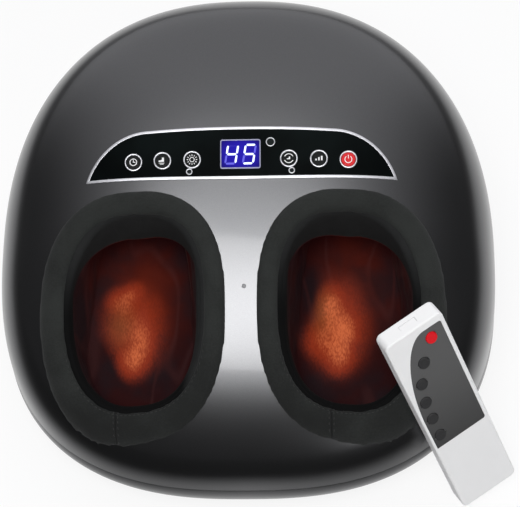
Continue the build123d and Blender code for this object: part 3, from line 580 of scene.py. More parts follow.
def circle_through(first, second, third):
    """Centre and radius of the circle through three points."""
    a, b, c = first.length_squared, second.length_squared, third.length_squared
    across = second - first
    along = third - first
    double = 2 * (across.x * along.y - across.y * along.x)
    x = ((b - a) * along.y - (c - a) * across.y) / double
    y = ((c - a) * across.x - (b - a) * along.x) / double
    centre = Vector((x, y))
    return centre, (first - centre).length


def arc(first, second, third, steps):
    """Points along the arc through three points, without its last."""
    centre, radius = circle_through(first, second, third)
    start_angle = atan2(first.y - centre.y, first.x - centre.x)
    sweep = (atan2(third.y - centre.y, third.x - centre.x) - start_angle) % (2 * pi)
    angles = [start_angle + sweep * step / steps for step in range(steps)]
    return [(centre.x + radius * cos(angle), centre.y + radius * sin(angle)) for angle in angles]


def panel_outline():
    """Plan of the control panel, counter-clockwise from its low left corner."""
    return (
        arc(low_left, low_middle, mirrored(low_left), low_steps)
        + arc(mirrored(low_left), mirrored(side_middle), mirrored(high_left), side_steps)
        + arc(mirrored(high_left), high_middle, high_left, high_steps)
        + arc(high_left, side_middle, low_left, side_steps)
    )


cover_shell = reshape(grid("cover_shell", skin_cells, skin_cells), cover_spot)
thicken(cover_shell, wall)
openings = [slab("panel", panel_outline(), crown_rise, 2 * crown_rise)]
well_ring = [well_edge(2 * pi * step / well_steps) for step in range(well_steps)]
for side in (-1, 1):
    openings.append(slab("well", [(side * x, y) for x, y in well_ring], 0, 2 * crown_rise))
cut(cover_shell, *openings)
smooth(cover_shell)
housing_gloss.on(cover_shell, "housing_plastic")
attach(cover_shell, "housing")
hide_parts("top_cover")

# Boot linings. Each well is lined with a thin sewn boot: its black woven band turns over the well's edge
# under the collar, and below it dark red velour covers the massage heads and lines the toe pocket.
lining_cells = 170
wall_share = 0.5
lip_share, band_share = 0.08, 0.4
lip_out, lip_gap, lip_rise, lip_fall = in_mm(4, 1.4, 2.2, 2.4)
lining_thickness = 0.6 * mm
fold_size, fold_depth, fold_start = in_mm(30, 5, 12)
band_centre, band_half, band_powers = in_mm(83, -75.5), in_mm(48, 62.5), (3.2, 3.4, 2.7, 2.4)
band_inset = 1.8 * mm
least_drop, back_drop, front_drop, pillar_drop = in_mm(5, 31, 10, 6)
sole_centre, sole_half, sole_powers = in_mm(83, -77), in_mm(41, 55), (3.0, 3.0, 2.6, 2.4)
pocket_reach, pocket_height, pocket_taper = 92 * mm, 34 * mm, 0.25
pocket_opens, roof_leaves, roof_lands = (0.05, 0.9), (0, 0.7), (0.85, 1.0)
roof_spread = 1.6
sole_rise = 28.4 * mm
deck_y, deck_z = in_mm(-64, 58)
lamp_spots = (in_mm(84, -29), in_mm(84, -100))
node_ring, node_swell, node_reach = in_mm(20.5, 3.2, 12)
glow_top, glow_full = in_mm(26, 4)
low_swell = 0.6


def sole_height(y):
    """Height of the sole, which is tilted like the deck under it."""
    return deck_z + (y - deck_y) * tan(deck_tilt) + sole_rise / cos(deck_tilt)


def step_between(low, high, value):
    """Smooth step from 0 to 1 between two values."""
    share = min(1.0, max(0.0, (value - low) / (high - low)))
    return share * share * (3 - 2 * share)


def between(first, last, share):
    """Value at a share of the way from the first to the last."""
    return first + (last - first) * share


def inside_well(x, y, inset):
    """A place of the right side, pulled in until it is an inset within the well's edge."""
    power = pillar_power if x < well_centre[0] else outer_power
    across = abs(x - well_centre[0]) / (well_half[0] - inset)
    along = abs(y - well_centre[1]) / (well_half[1] - inset)
    share = min(1.0, (across**power + along**power) ** (-1 / power))
    return between(well_centre[0], x, share), between(well_centre[1], y, share)


def band_drop(angle):
    """Depth of the band's lower edge below the cover: deepest over the toes, least on the outer side."""
    back, front, pillar = max(0.0, sin(angle)), max(0.0, -sin(angle)), max(0.0, -cos(angle))
    return least_drop + back_drop * back**2 + front_drop * front**1.5 + pillar_drop * pillar**1.5 * (1 - back)


def wall_spot(angle, depth):
    """Place on the right boot's wall, from the collar down to the sole, and its depth below the cover."""
    rim_x, rim_y = well_edge(angle, -lip_gap)
    rim = dome_height(rim_x, rim_y)
    if depth < lip_share:
        turn = pi / 2 * depth / lip_share
        x, y = well_edge(angle, between(lip_out, -lip_gap, sin(turn)))
        return x, y, dome_height(x, y) + between(lip_rise, -lip_fall, 1 - cos(turn)), 0.0
    band_x, band_y = inside_well(*squarish(angle, band_centre, band_half, band_powers), band_inset)
    drop = band_drop(angle)
    if depth < band_share:
        turn = pi / 2 * (depth - lip_share) / (band_share - lip_share)
        fall = between(lip_fall, drop, 1 - cos(turn))
        return between(rim_x, band_x, sin(turn)), between(rim_y, band_y, sin(turn)), rim - fall, fall
    share = (depth - band_share) / (1 - band_share)
    back = max(0.0, sin(angle)) ** 1.2
    sole_x, sole_y = squarish(angle, sole_centre, sole_half, sole_powers)
    x, y = between(band_x, sole_x, share**1.5), between(band_y, sole_y, share**1.5)
    pocket = pocket_reach * back * step_between(*pocket_opens, share)
    sole = sole_height(y + pocket)
    straight = between(rim - drop, sole, sin(pi / 2 * share))
    roof = between(rim - drop, sole + pocket_height, step_between(*roof_leaves, share))
    roof = between(roof, sole, step_between(*roof_lands, share))
    height = between(straight, roof, min(1.0, roof_spread * back))
    x = between(well_centre[0], x, 1 - pocket_taper * pocket / pocket_reach)
    return x, y + pocket, height, drop + share * (rim - drop - sole)


def sole_swell(x, y):
    """Rise of the sole over the massage heads' nodes and lamps. Two nodes of the four stand lower."""
    swell = 0.0
    for lamp_x, lamp_y in lamp_spots:
        reach = hypot(x - lamp_x, y - lamp_y)
        swell += low_swell * exp(-((reach / node_reach) ** 2))
        for step in range(4):
            turn = 2 * pi * (step + 0.5) / 4
            reach = hypot(x - lamp_x - node_ring * cos(turn), y - lamp_y - node_ring * sin(turn))
            swell += exp(-((reach / (0.55 * node_reach)) ** 2)) * (1 if step % 2 == 0 else low_swell)
    return node_swell * swell


def lining_spot(place, side):
    """Place of a point of a lining, and how far it lies below its band's lower edge."""
    angle, radius = disc_spot(place)
    x, y, z, drop = wall_spot(angle, min(1.0, (1 - radius) / wall_share))
    share = min(1.0, radius / (1 - wall_share))
    if share < 1:
        x, y = between(well_centre[0], x, share), between(well_centre[1], y, share)
        z = sole_height(y) + sole_swell(x, y) * step_between(1.0, 0.8, share)
    return Vector((side * x, y, z)), drop - band_drop(angle)


# The velour's emission colour is painted glow: the light of the heat lamps through the cloth, drawn on the
# lining's own surface.
boot_velour = Finish(
    "red boot velour", roughness=0.9, specular_ior_level=0.05, sheen_weight=0.01, emission_strength=1.0
)
boot_x, boot_y, boot_z = boot_velour.axes(boot_velour.place)


def spots_of_light(spots):
    """Sum of soft round spots: the strength of each, its middle and its reach, in millimetres."""
    total = 0.0
    for strength, x, y, wide, tall in spots:
        spread = (((boot_x - x * mm) / (wide * mm)) ** 2 + ((boot_y - y * mm) / (tall * mm)) ** 2) ** 0.5
        total = strength * spread.rise(1.0, 0.0) + total
    return total


# The glow of the heat lamps through the cloth, placed where the photograph shows it.
left_glow = (
    (0.57, -91, -70, 39, 54), (0.38, -101, -41, 18, 17), (0.26, -90, -34, 13, 13),
    (0.28, -81, -77, 13, 24), (0.46, -89, -94, 19, 20), (-0.16, -116, -92, 32, 44),
)
right_glow = (
    (0.58, 72, -68, 37, 58), (0.38, 67, -46, 16, 24), (0.34, 79, -68, 14, 24),
    (0.44, 74, -91, 17, 20), (0.24, 58, -76, 24, 22), (-0.15, 50, -45, 16, 40),
)
# An olive tint and a broad dim haze of the same painted glow; the negative spots dim the painted glow.
olive_glow_part = spots_of_light(((0.8, -100, -62, 20, 30), (0.9, 61, -52, 17, 32)))
glow_haze = spots_of_light(((0.24, -84, -40, 76, 100), (0.23, 84, -40, 76, 100), (-0.12, -118, -100, 30, 40)))
above_sole = boot_z - (boot_y - deck_y) * tan(deck_tilt) - (deck_z + sole_rise / cos(deck_tilt))
glow = spots_of_light(left_glow + right_glow) * above_sole.rise(glow_top, glow_full)
under_band = boot_velour.node("ShaderNodeAttribute", {"attribute_name": "under_band"}, output="Fac")
red_part = under_band.rise(-0.8 * mm, 0.8 * mm)
# The band keeps its woven colour at the back and beside the pillar; at the front and outer sides it is
# painted near-black, a painted shadow under the collar's roll.
pillar_side = boot_x.rise(-47 * mm, -38 * mm) * boot_x.rise(10 * mm, 0)
unshaded_band_part = boot_y.rise(-85 * mm, -30 * mm).at_least(pillar_side)
pile = boot_velour.noise(620.0, 2.0, boot_velour.stretched((1.0, 0.6, 0.6)), roughness=0.6)
nap = boot_velour.noise(130.0, 3.0, roughness=0.6)
patch = boot_velour.noise(26.0, 3.0)
grain = boot_velour.noise(1000.0, 1.0, boot_velour.stretched((1.0, 0.4, 0.4), radians(35))).rise(0.30, 0.70)
# Fold ridges are bumped and also painted a lighter pink, a painted highlight where the pile catches the
# light.
folded = boot_velour.noise(24.0, 1.0, boot_velour.stretched((1.0, 0.35, 0.35)))
fold_ridge_and_sheen = (folded - 0.5).size().rise(0.03, 0.0)
painted_glow_level = glow * (0.68 + 0.30 * grain + 0.28 * nap) + glow_haze * (0.4 + 1.0 * patch)
hot = boot_velour.tint(olive_glow_part, (0.215, 0.0220, 0.0050), (0.170, 0.0400, 0.0100))
ember = boot_velour.tint(painted_glow_level.rise(0.05, 0.62), (0.0035, 0.0004, 0.0007), hot)
band_cloth = boot_velour.tint(nap, (0.0150, 0.0154, 0.0156), (0.0215, 0.0222, 0.0222))
red_cloth = boot_velour.tint(patch.rise(0.35, 0.65), (0.011, 0.0072, 0.0084), (0.020, 0.0046, 0.0044))
boot_velour.wear(
    base_color=boot_velour.tint(
        red_part,
        boot_velour.tint(unshaded_band_part, (0.0040, 0.0041, 0.0042), band_cloth),
        boot_velour.tint(fold_ridge_and_sheen, red_cloth, (0.027, 0.0095, 0.0095)),
    ),
    emission_color=boot_velour.tint(
        red_part,
        grey(0.0),
        boot_velour.tint((painted_glow_level - 0.55).rise(0.0, 0.60), ember, (0.56, 0.125, 0.042)),
    ),
)
boot_velour.relief(0.5 * pile + 0.4 * nap + 0.5 * fold_ridge_and_sheen, 0.6 * mm, 0.7)
folds = bpy.data.textures.new("lining folds", "CLOUDS")
folds.noise_scale = fold_size
for side_name, side in (("left", -1), ("right", 1)):
    lining = grid(side_name + "_lining", lining_cells, lining_cells)
    spots = [lining_spot(vertex.co, side) for vertex in lining.data.vertices]
    below = lining.data.attributes.new("under_band", "FLOAT", "POINT")
    slack = lining.vertex_groups.new(name="slack")
    for vertex, value, (spot, under) in zip(lining.data.vertices, below.data, spots):
        vertex.co = spot
        value.value = under
        slack.add([vertex.index], step_between(0, fold_start, under), "REPLACE")
    if side < 0:
        flip(lining)
    modify(
        lining, "DISPLACE", texture=folds, texture_coords="LOCAL", strength=fold_depth, mid_level=0.5,
        vertex_group="slack",
    )
    thicken(lining, lining_thickness)
    smooth(lining, 80)
    boot_velour.on(lining, "boot_fabric")
    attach(lining, "housing")
    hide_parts(side_name + "_boot")

# Padded collars. A ring of foam in matt charcoal jersey lies round each well and rolls into it. One
# stitched seam runs round the front of the well, and one closing seam crosses each collar there.
collar_crown, collar_sink = in_mm(8.5, 4)
collar_turns, collar_ribs = 144, 20
ring_body = 0.25
pad_outer = (in_mm(84.5, -81.6), in_mm(73.5, 86.6), (2.45, 2.6, 2.5, 2.2))
pad_inner = (in_mm(82.5, -80.5), in_mm(53.2, 67.8), (2.5, 2.9, 2.6, 2.3))
pad_spread, pad_round = 0.8, 0.85
pad_voxel, pad_cap = in_mm(2.5, 4)
pad_start = 0.86
pad_pressure, swell_frames = 4, 14
stitch_pitch, stitch_length, stitch_radius = in_mm(3.6, 2.4, 0.35)
seam_in, seam_beside = in_mm(3.2, 1.8)
seam_arc = (200, 340)
closing_seams = {"left": -97 * mm, "right": 68 * mm}
seam_low, seam_high = in_mm(-172, -146)


def collar_rule(side, fullness):
    """Rule that bends a ring of radius 1 into a collar."""

    def rule(place):
        angle = atan2(place.y, place.x)
        out = (hypot(place.x, place.y) - 1) / ring_body
        up = place.z / ring_body
        outer, inner = squarish(angle, *pad_outer), squarish(angle, *pad_inner)
        share = 0.5 + 0.5 * copysign(abs(out) ** pad_spread, out)
        x, y = between(inner[0], outer[0], share), between(inner[1], outer[1], share)
        lift = collar_crown * fullness * up**pad_round if up > 0 else collar_sink * up
        return side * x, y, dome_height(x, y) + lift

    return rule


collar_jersey = Finish("charcoal collar jersey", roughness=0.92, sheen_weight=0.05, specular_ior_level=0.2)
jersey_x, jersey_y = collar_jersey.axes(collar_jersey.place)[:2]
knit = collar_jersey.cells(1100.0)
mottle = collar_jersey.noise(35.0, 3.0)
lint = collar_jersey.noise(650.0, 4.0, roughness=0.7)
on_front = jersey_y.rise(seam_high + 1 * mm, seam_high)
left_line = (jersey_x - closing_seams["left"]).size().rise(0.9 * mm, 0.2 * mm)
right_line = (jersey_x - closing_seams["right"]).size().rise(0.9 * mm, 0.2 * mm)
seam_line = (left_line + right_line) * on_front
# Random mottle and lint, plus a painted shade that darkens the collars towards the front.
mottle_and_front_shade = 0.5 * mottle + 0.5 * lint - 0.16 * jersey_y.rise(-70 * mm, -150 * mm)
jersey_cloth = collar_jersey.tint(mottle_and_front_shade.rise(0.22, 0.62), (0.0105, 0.0113, 0.0108), (0.0225, 0.0246, 0.0232))
collar_jersey.wear(base_color=collar_jersey.tint(seam_line, jersey_cloth, grey(0.006)))
collar_jersey.relief(0.5 * knit + 0.5 * lint - 3.0 * seam_line, 0.35 * mm, 0.6)


def stuff(piece):
    """Blow a closed cloth piece up, keep each point within the cap of where it was, and smooth it."""
    modify(piece, "REMESH", mode="VOXEL", voxel_size=pad_voxel)
    rest = [vertex.co.copy() for vertex in piece.data.vertices]
    alone(piece)
    cloth = piece.modifiers.new("Cloth", "CLOTH")
    cloth.settings.use_pressure = True
    cloth.settings.uniform_pressure_force = pad_pressure
    cloth.settings.effector_weights.gravity = 0
    cloth.point_cache.frame_start = 1
    cloth.point_cache.frame_end = swell_frames
    for step in range(1, swell_frames + 1):
        bpy.context.scene.frame_set(step)
    bpy.ops.object.modifier_apply(modifier="Cloth")
    bpy.context.scene.frame_set(1)
    for vertex, place in zip(piece.data.vertices, rest):
        shift = vertex.co - place
        if shift.length > pad_cap:
            vertex.co = place + shift * (pad_cap / shift.length)
    modify(piece, "SMOOTH", factor=0.5, iterations=6)


def stitch(pad, first, last):
    """One stitch on a pad between two plan places."""
    middle = Vector(((first[0] + last[0]) / 2, (first[1] + last[1]) / 2, 2 * crown_rise))
    spot, normal = pad.ray_cast(middle, Vector((0, 0, -1)))[1:3]
    run = Vector((last[0] - first[0], last[1] - first[1], 0)).normalized()
    run = (run - normal * run.dot(normal)).normalized()
    across = normal.cross(run)
    size = Matrix((run * stitch_length / 2, across * stitch_radius, normal * stitch_radius))
    piece = start("stitch", bpy.ops.mesh.primitive_uv_sphere_add, segments=8, ring_count=5, radius=1)
    return moved(piece, Matrix.Translation(spot) @ size.transposed().to_4x4())


def seam_stitches(pad, side_name, side):
    """Stitches round the front of the well and beside the closing seam."""
    pieces = []
    centre, half, powers = pad_inner
    wider = (half[0] + seam_in, half[1] + seam_in)
    steps = int(radians(seam_arc[1] - seam_arc[0]) * (half[0] + half[1]) / 2 / stitch_pitch)
    angles = [radians(between(*seam_arc, step / steps)) for step in range(steps + 1)]
    ends = [squarish(angle, centre, wider, powers) for angle in angles]
    for first, last in zip(ends, ends[1:]):
        pieces.append(stitch(pad, (side * first[0], first[1]), (side * last[0], last[1])))
    seam_x = closing_seams[side_name]
    for step in range(int((seam_high - seam_low) / stitch_pitch)):
        y = seam_low + step * stitch_pitch
        if dome_height(seam_x, y) > widest_height + collar_crown:
            for x in (seam_x - seam_beside, seam_x + seam_beside):
                pieces.append(stitch(pad, (x, y), (x, y + stitch_pitch)))
    return joined(side_name + "_collar_stitches", pieces)


def ring_mesh(name, turns, ribs):
    """Ring of radius 1, for a rule that gives it its form."""
    return start(
        name, bpy.ops.mesh.primitive_torus_add, major_segments=turns, minor_segments=ribs, major_radius=1,
        minor_radius=ring_body,
    )


stitch_thread = clouded("dark stitching thread", 2200.0, grey(0.010), grey(0.030, 0.029), roughness=0.8)
for side_name, side in (("left", -1), ("right", 1)):
    collar = ring_mesh(side_name + "_collar_pad", collar_turns, collar_ribs)
    reshape(collar, collar_rule(side, pad_start))
    if side < 0:
        flip(collar)
    stuff(collar)
    modify(collar, "SUBSURF", levels=1, render_levels=1)
    smooth(collar, 80)
    collar_jersey.on(collar, "collar_fabric")
    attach(collar, "housing")
    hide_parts(side_name + "_collar")
    stitches = seam_stitches(collar, side_name, side)
    smooth(stitches, 80)
    stitch_thread.on(stitches, "collar_fabric")
    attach(stitches, "housing")

# Control panel. A polished silver band frames a glossy black lens that follows the dome, and the
# frame, boards and switches behind it are in the sections above.
trim_width, trim_proud, trim_depth, trim_edge = in_mm(1.9, 0.6, 2, 0.5)
lens_cells = (140, 24)
lens_reach = 0.988
lens_sunk, lens_thickness = in_mm(0.1, 1.6)


def on_dome(place):
    """Lift a place by the dome's height under it."""
    return place.x, place.y, place.z + dome_height(place.x, place.y)


def band_piece(name, points, width, low, high, edge):
    """Closed band of an even width inside an outline, laid on the dome."""
    piece = polygon(name, points, high)
    with edit_mode(piece):
        bpy.ops.mesh.normals_make_consistent(inside=False)
        bpy.ops.mesh.inset(thickness=width, depth=0, use_even_offset=True)
        bpy.ops.mesh.delete(type="FACE")
    if piece.data.polygons[0].normal.z < 0:
        flip(piece)
    thicken(piece, high - low)
    ease(piece, edge, 50)
    reshape(piece, on_dome)
    smooth(piece, 50)
    return piece


bright_trim = Finish("polished silver trim", metallic=1.0, coat_weight=0.4)
trim_haze = bright_trim.noise(500.0, 3.0)
bright_trim.wear(
    base_color=bright_trim.tint(trim_haze, grey(0.54, 0.57), grey(0.66, 0.69)),
    roughness=0.34 + 0.10 * trim_haze,
)
trim = band_piece("panel_band", panel_outline(), trim_width, -trim_depth, trim_proud, trim_edge)
bright_trim.on(trim, "bright_trim")
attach(trim, "housing")
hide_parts("panel_trim")


def low_edge(x):
    """Front edge of the panel's plan."""
    centre, radius = circle_through(low_left, low_middle, mirrored(low_left))
    return centre.y - sqrt(radius**2 - (x - centre.x) ** 2)


def high_edge(x):
    """Back edge of the panel's plan."""
    x = -abs(x)
    if x > high_left.x:
        centre, radius = circle_through(high_left, high_middle, mirrored(high_left))
    else:
        centre, radius = circle_through(high_left, side_middle, low_left)
    return centre.y + sqrt(max(0.0, radius**2 - (x - centre.x) ** 2))


def lens_rule(place):
    """Place on the lens of a spot on a square."""
    x = place.x * -low_left.x * lens_reach
    low, high = low_edge(x) + trim_width / 2, high_edge(x) - trim_width / 2
    y = low + (max(high, low) - low) * (place.y + 1) / 2
    return x, y, dome_height(x, y) - lens_sunk


lens = reshape(grid("panel_glass", *lens_cells), lens_rule)
thicken(lens, lens_thickness)
smooth(lens, 40)
lens_black = Finish(
    "black lens acrylic", roughness=0.10, coat_weight=0.04, coat_roughness=0.03, specular_ior_level=0.03
)
murk = lens_black.noise(16.0, 3.0).rise(0.35, 0.75)
lens_black.wear(base_color=lens_black.tint(murk, (0.0005, 0.0012, 0.0012), (0.0030, 0.0055, 0.0055)))
lens_black.on(lens, "lens_black")
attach(lens, "housing")
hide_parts("panel_lens")

# Display. A deep blue two-digit number window in a thin pale frame, lit by seven slanted strokes to
# a digit, with the unlit strokes just showing.
display_y = 30.7 * mm
display_size = in_mm(31.2, 21.8)
display_round = 1.6 * mm
pane_cells = (24, 16)
pane_inset, pane_lift, pane_thickness = in_mm(0.4, 0.1, 1.2)
frame_band, frame_low, frame_high, frame_edge = in_mm(0.9, -0.6, 0.4, 0.2)
digit_spots = in_mm(-6.7, 6.9)
digit_y = display_y - 0.2 * mm
digit_half = in_mm(3.9, 6.9)
stroke, stroke_gap = in_mm(1.5, 0.35)
slant = 0.17
lit = ("bcfg", "acdfg")
lit_lift, unlit_lift = in_mm(0.14, 0.12)
print_thickness = 0.06 * mm


def pane_rule(place):
    """Place on the display's window of a spot on a square."""
    reach_x, reach_y = display_size[0] / 2, display_size[1] / 2
    height = dome_height(place.x * reach_x, display_y + place.y * reach_y) + pane_lift
    return place.x * (reach_x - pane_inset), display_y + place.y * (reach_y - pane_inset), height


window = reshape(grid("display_pane", *pane_cells), pane_rule)
thicken(window, pane_thickness)
smooth(window, 40)
blue_pane = Finish(
    "deep blue pane", roughness=0.1, coat_weight=0.03, specular_ior_level=0.03, emission_strength=1.0
)
pane_x, pane_y = blue_pane.axes(blue_pane.place)[:2]
middle_glow = ((pane_x.size() / (15 * mm)) ** 2 + ((pane_y - display_y) / (11 * mm)) ** 2).rise(2.0, 0.0)
blue_pane.wear(
    base_color=(0.004, 0.004, 0.05),
    emission_color=blue_pane.tint(middle_glow, (0.006, 0.002, 0.110), (0.016, 0.008, 0.380)),
)
blue_pane.on(window, "display_glass")
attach(window, "housing")
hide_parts("display_window")
frame_outline = oblong((0, display_y), *display_size, display_round)
pane_frame = band_piece("display_frame", frame_outline, frame_band, frame_low, frame_high, frame_edge)
pale_frame = clouded("lavender frame print", 300.0, grey(0.26, 0.38), grey(0.34, 0.50), roughness=0.4)
pale_frame.on(pane_frame, "display_glass")
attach(pane_frame, "housing")


def stroke_points(letter):
    """Six corners of one stroke of a seven-stroke digit, round the digit's middle."""
    wide, tall = digit_half
    x, y, upright = {
        "a": (0, tall, False),
        "b": (wide, tall / 2, True),
        "c": (wide, -tall / 2, True),
        "d": (0, -tall, False),
        "e": (-wide, -tall / 2, True),
        "f": (-wide, tall / 2, True),
        "g": (0, 0, False),
    }[letter]
    reach = (tall / 2 if upright else wide) - stroke_gap
    half = stroke / 2
    inner = reach - half
    points = [(-reach, 0), (-inner, -half), (inner, -half), (reach, 0), (inner, half), (-inner, half)]
    if upright:
        points = [(-b, a) for a, b in points]
    return [(x + a + slant * (y + b), y + b) for a, b in points]


def strokes(name, letters_of_digits, lift):
    """The strokes of both digits, printed on the window."""
    pieces = []
    for spot, letters in zip(digit_spots, letters_of_digits):
        for letter in letters:
            points = [(spot + a, digit_y + b) for a, b in stroke_points(letter)]
            pieces.append(reshape(slab(name, points, lift, lift + print_thickness), on_dome))
    return joined(name, pieces)


white_light = Finish("blue-white stroke light", emission_strength=1.0, roughness=0.4)
white_light.wear(
    base_color=(0.5, 0.55, 0.8),
    emission_color=white_light.tint(white_light.noise(200.0), (0.55, 0.66, 1.0), (0.80, 0.88, 1.0)),
)
dim_light = Finish("unlit blue stroke", emission_strength=1.0, roughness=0.4)
dim_light.wear(
    base_color=(0.02, 0.02, 0.2),
    emission_color=dim_light.tint(dim_light.noise(200.0), (0.035, 0.03, 0.50), (0.06, 0.05, 0.62)),
)
unlit = [[letter for letter in "abcdefg" if letter not in letters] for letters in lit]
for name, letters, lift, finish in (
    ("display_digits", lit, lit_lift, white_light),
    ("display_unlit", unlit, unlit_lift, dim_light),
):
    piece = strokes(name, letters, lift)
    finish.on(piece, "display_glass")
    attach(piece, "housing")

# Buttons. Each round cap sits in a bright ring, in its hole through the lens, and carries a plain
# white picture, as such panels have; the power cap is red.
button_xs = {"time": -83, "mode": -60.4, "heat": -37.3, "air": 37.3, "intensity": 60.4, "power": 83}
button_y = 27 * mm
panel_tilt = radians(20)
ring_radius, ring_half_width, ring_half_height = in_mm(6.28, 0.80, 0.8)
ring_turns, ring_ribs = 64, 12
cap_hole_radius, cap_hole_depth = in_mm(5.6, 20)
cap_proud = 1.0 * mm
hoop_steps = 32


def out_of_dome(x, y, lift=0.0):
    """Frame of a spot on the panel, its Z out of the panel's face."""
    turn = Matrix.Rotation(panel_tilt, 4, "X")
    return Matrix.Translation((x, y, dome_height(x, y))) @ turn @ Matrix.Translation((0, 0, lift))


def bright_ring(name, x, y, radius, half_breadth, half_height):
    """Ring that stands out of the panel."""

    def rule(place):
        angle = atan2(place.y, place.x)
        reach = radius + (hypot(place.x, place.y) - 1) / ring_body * half_breadth
        return reach * cos(angle), reach * sin(angle), place.z / ring_body * half_height

    ring = reshape(ring_mesh(name, ring_turns, ring_ribs), rule)
    moved(ring, out_of_dome(x, y))
    smooth(ring, 80)
    return ring


rings, holes = [], []
for name, x in button_xs.items():
    rings.append(
        bright_ring(name + "_ring", x * mm, button_y, ring_radius, ring_half_width, ring_half_height)
    )
    hole = start(
        "hole", bpy.ops.mesh.primitive_cylinder_add, vertices=48, radius=cap_hole_radius, depth=cap_hole_depth
    )
    holes.append(moved(hole, out_of_dome(x * mm, button_y)))
rings = joined("button_rings", rings)
cut(lens, joined("cap_holes", holes))
smooth(lens, 40)
bright_trim.on(rings, "bright_trim")
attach(rings, "housing")
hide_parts("button_bezels")


def hoop(radius, width, first=0.0, last=359.5):
    """Outline of a ring or part of a ring, between two angles in degrees."""
    angles = [radians(between(first, last, step / hoop_steps)) for step in range(hoop_steps + 1)]
    outer = [(radius * cos(angle), radius * sin(angle)) for angle in angles]
    inner = [((radius - width) * cos(angle), (radius - width) * sin(angle)) for angle in reversed(angles)]
    return outer + inner


def bar(start_spot, end_spot, width):
    """Outline of a straight bar between two spots."""
    first, last = Vector(start_spot), Vector(end_spot)
    run = last - first
    across = Vector((-run.y, run.x)).normalized() * (width / 2)
    return [tuple(first - across), tuple(last - across), tuple(last + across), tuple(first + across)]


def ray(angle, inner, outer, width):
    """Outline of a bar that points away from the middle, at an angle in degrees."""
    a = radians(angle)
    return bar((inner * cos(a), inner * sin(a)), (outer * cos(a), outer * sin(a)), width)


foot_sign = [
    (-3.0, -0.6), (-2.6, -1.0), (1.2, -1.0), (1.4, -0.4), (1.3, 2.4), (-0.3, 2.4), (-0.2, 0.9), (-1.5, 0.2),
    (-2.6, 0.1),
]
small_foot = [(0.62 * x + 0.2, 0.62 * y - 0.2) for x, y in foot_sign]
signs = {
    "time": [hoop(2.9, 0.6), bar((0, -0.3), (0, 2.0), 0.6), bar((-0.3, 0), (1.6, 0), 0.6)],
    "mode": [foot_sign, bar((-2.6, -2.0), (1.6, -2.0), 0.45), bar((-1.8, -2.9), (1.0, -2.9), 0.45)],
    "heat": [hoop(2.0, 0.5)] + [ray(30 * k, 2.9, 4.1, 0.5) for k in range(12)],
    "air": [hoop(3.8, 0.6, 25, 155), hoop(3.8, 0.6, 205, 335), small_foot],
    "intensity": [bar((x, -1.6), (x, top), 1.2) for x, top in ((-2.2, -0.2), (0, 0.9), (2.2, 1.9))],
    "power": [hoop(3.0, 0.6, 125, 415), bar((0, 0.6), (0, 3.4), 0.6)],
}
sign_white = clouded("white sign print", 900.0, grey(0.74, 0.75), grey(0.86, 0.87), roughness=0.5)
cap_black = clouded(
    "black cap acrylic", 400.0, (0.006, 0.007, 0.007), (0.014, 0.015, 0.015),
    roughness=0.2, coat_weight=0.04, specular_ior_level=0.05,
)
cap_red = clouded(
    "red cap acrylic", 400.0, (0.50, 0.012, 0.016), (0.62, 0.022, 0.026),
    roughness=0.25, coat_weight=0.1, specular_ior_level=0.1, emission_strength=0.15,
)
cap_red.wear(emission_color=cap_red.tint(cap_red.noise(90.0), (0.55, 0.01, 0.02), (0.75, 0.03, 0.04)))
for name, x in button_xs.items():
    cad_finish(cap_red if name == "power" else cap_black, name + "_button")
    pieces = [slab(name, [(a * mm, b * mm) for a, b in points], 0, print_thickness) for points in signs[name]]
    sign = joined(name + "_sign", pieces)
    moved(sign, out_of_dome(x * mm, button_y, cap_proud))
    sign_white.on(sign, "button_red" if name == "power" else "button_black")
    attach(sign, name + "_key")

# Indicator lights and the pillar plug. Three small dark lamps sit in bright rings on the lens, and a
# plug covers the sensor's hole in the pillar between the wells.
light_spots = {"remote": (23.2, 39.5, 3.2), "heat": (-39.5, 18.2, 2.1), "air": (39.5, 18.2, 2.1)}
light_ring_half = 0.5 * mm
lights = [
    bright_ring(name, x * mm, y * mm, radius * mm, light_ring_half, light_ring_half)
    for name, (x, y, radius) in light_spots.items()
]
lights = joined("light_rings", lights)
bright_trim.on(lights, "bright_trim")
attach(lights, "housing")
lamp_dark = clouded(
    "dark lamp pipe", 300.0, (0.006, 0.009, 0.009), (0.016, 0.02, 0.02),
    roughness=0.15, coat_weight=0.05, specular_ior_level=0.05,
)
cad_finish(lamp_dark, "indicator_lights")
plug_grey = clouded("grey plug nylon", 900.0, grey(0.16, 0.17), grey(0.26, 0.27), roughness=0.5)
cad_finish(plug_grey, "pillar_plug")

# Remote control. Two pale satin shells with rounded edges, a dark printed face plate and six rubber
# keys; it leans on the front right shoulder of the housing.
remote_satin = clouded(
    "pale remote satin", 14.0, grey(0.78), grey(0.84), 3.0, roughness=0.42, specular_ior_level=0.4
)
remote_satin.relief(remote_satin.noise(1400.0, 3.0), 0.02 * mm, 0.5)
cad_finish(remote_satin, "remote_front_shell", "remote_back_shell", "remote_battery_door", "remote_window")
plate_grey = Finish("dark plate print", roughness=0.5)
plate_z = plate_grey.axes(plate_grey.place)[2]
# The plate's grey is lighter higher up, from 50 to 170 mm above the floor.
plate_grey.wear(base_color=plate_grey.tint(plate_z.rise(50 * mm, 170 * mm), grey(0.040), grey(0.095)))
cad_finish(plate_grey, "remote_face_plate")
key_rubber = clouded("dark key rubber", 500.0, grey(0.018, 0.019), grey(0.032, 0.033), roughness=0.6)
key_red = clouded(
    "red key rubber", 500.0, (0.62, 0.004, 0.010), (0.74, 0.008, 0.016),
    roughness=0.45, specular_ior_level=0.12,
)
for name in ("power", "mode", "heat", "air", "intensity", "time"):
    cad_finish(key_red if name == "power" else key_rubber, "remote_" + name + "_key")
cell_sleeve = clouded(
    "green cell sleeve", 80.0, (0.02, 0.10, 0.03), (0.04, 0.16, 0.05), roughness=0.35, coat_weight=0.5
)
cad_finish(cell_sleeve, "remote_batteries")

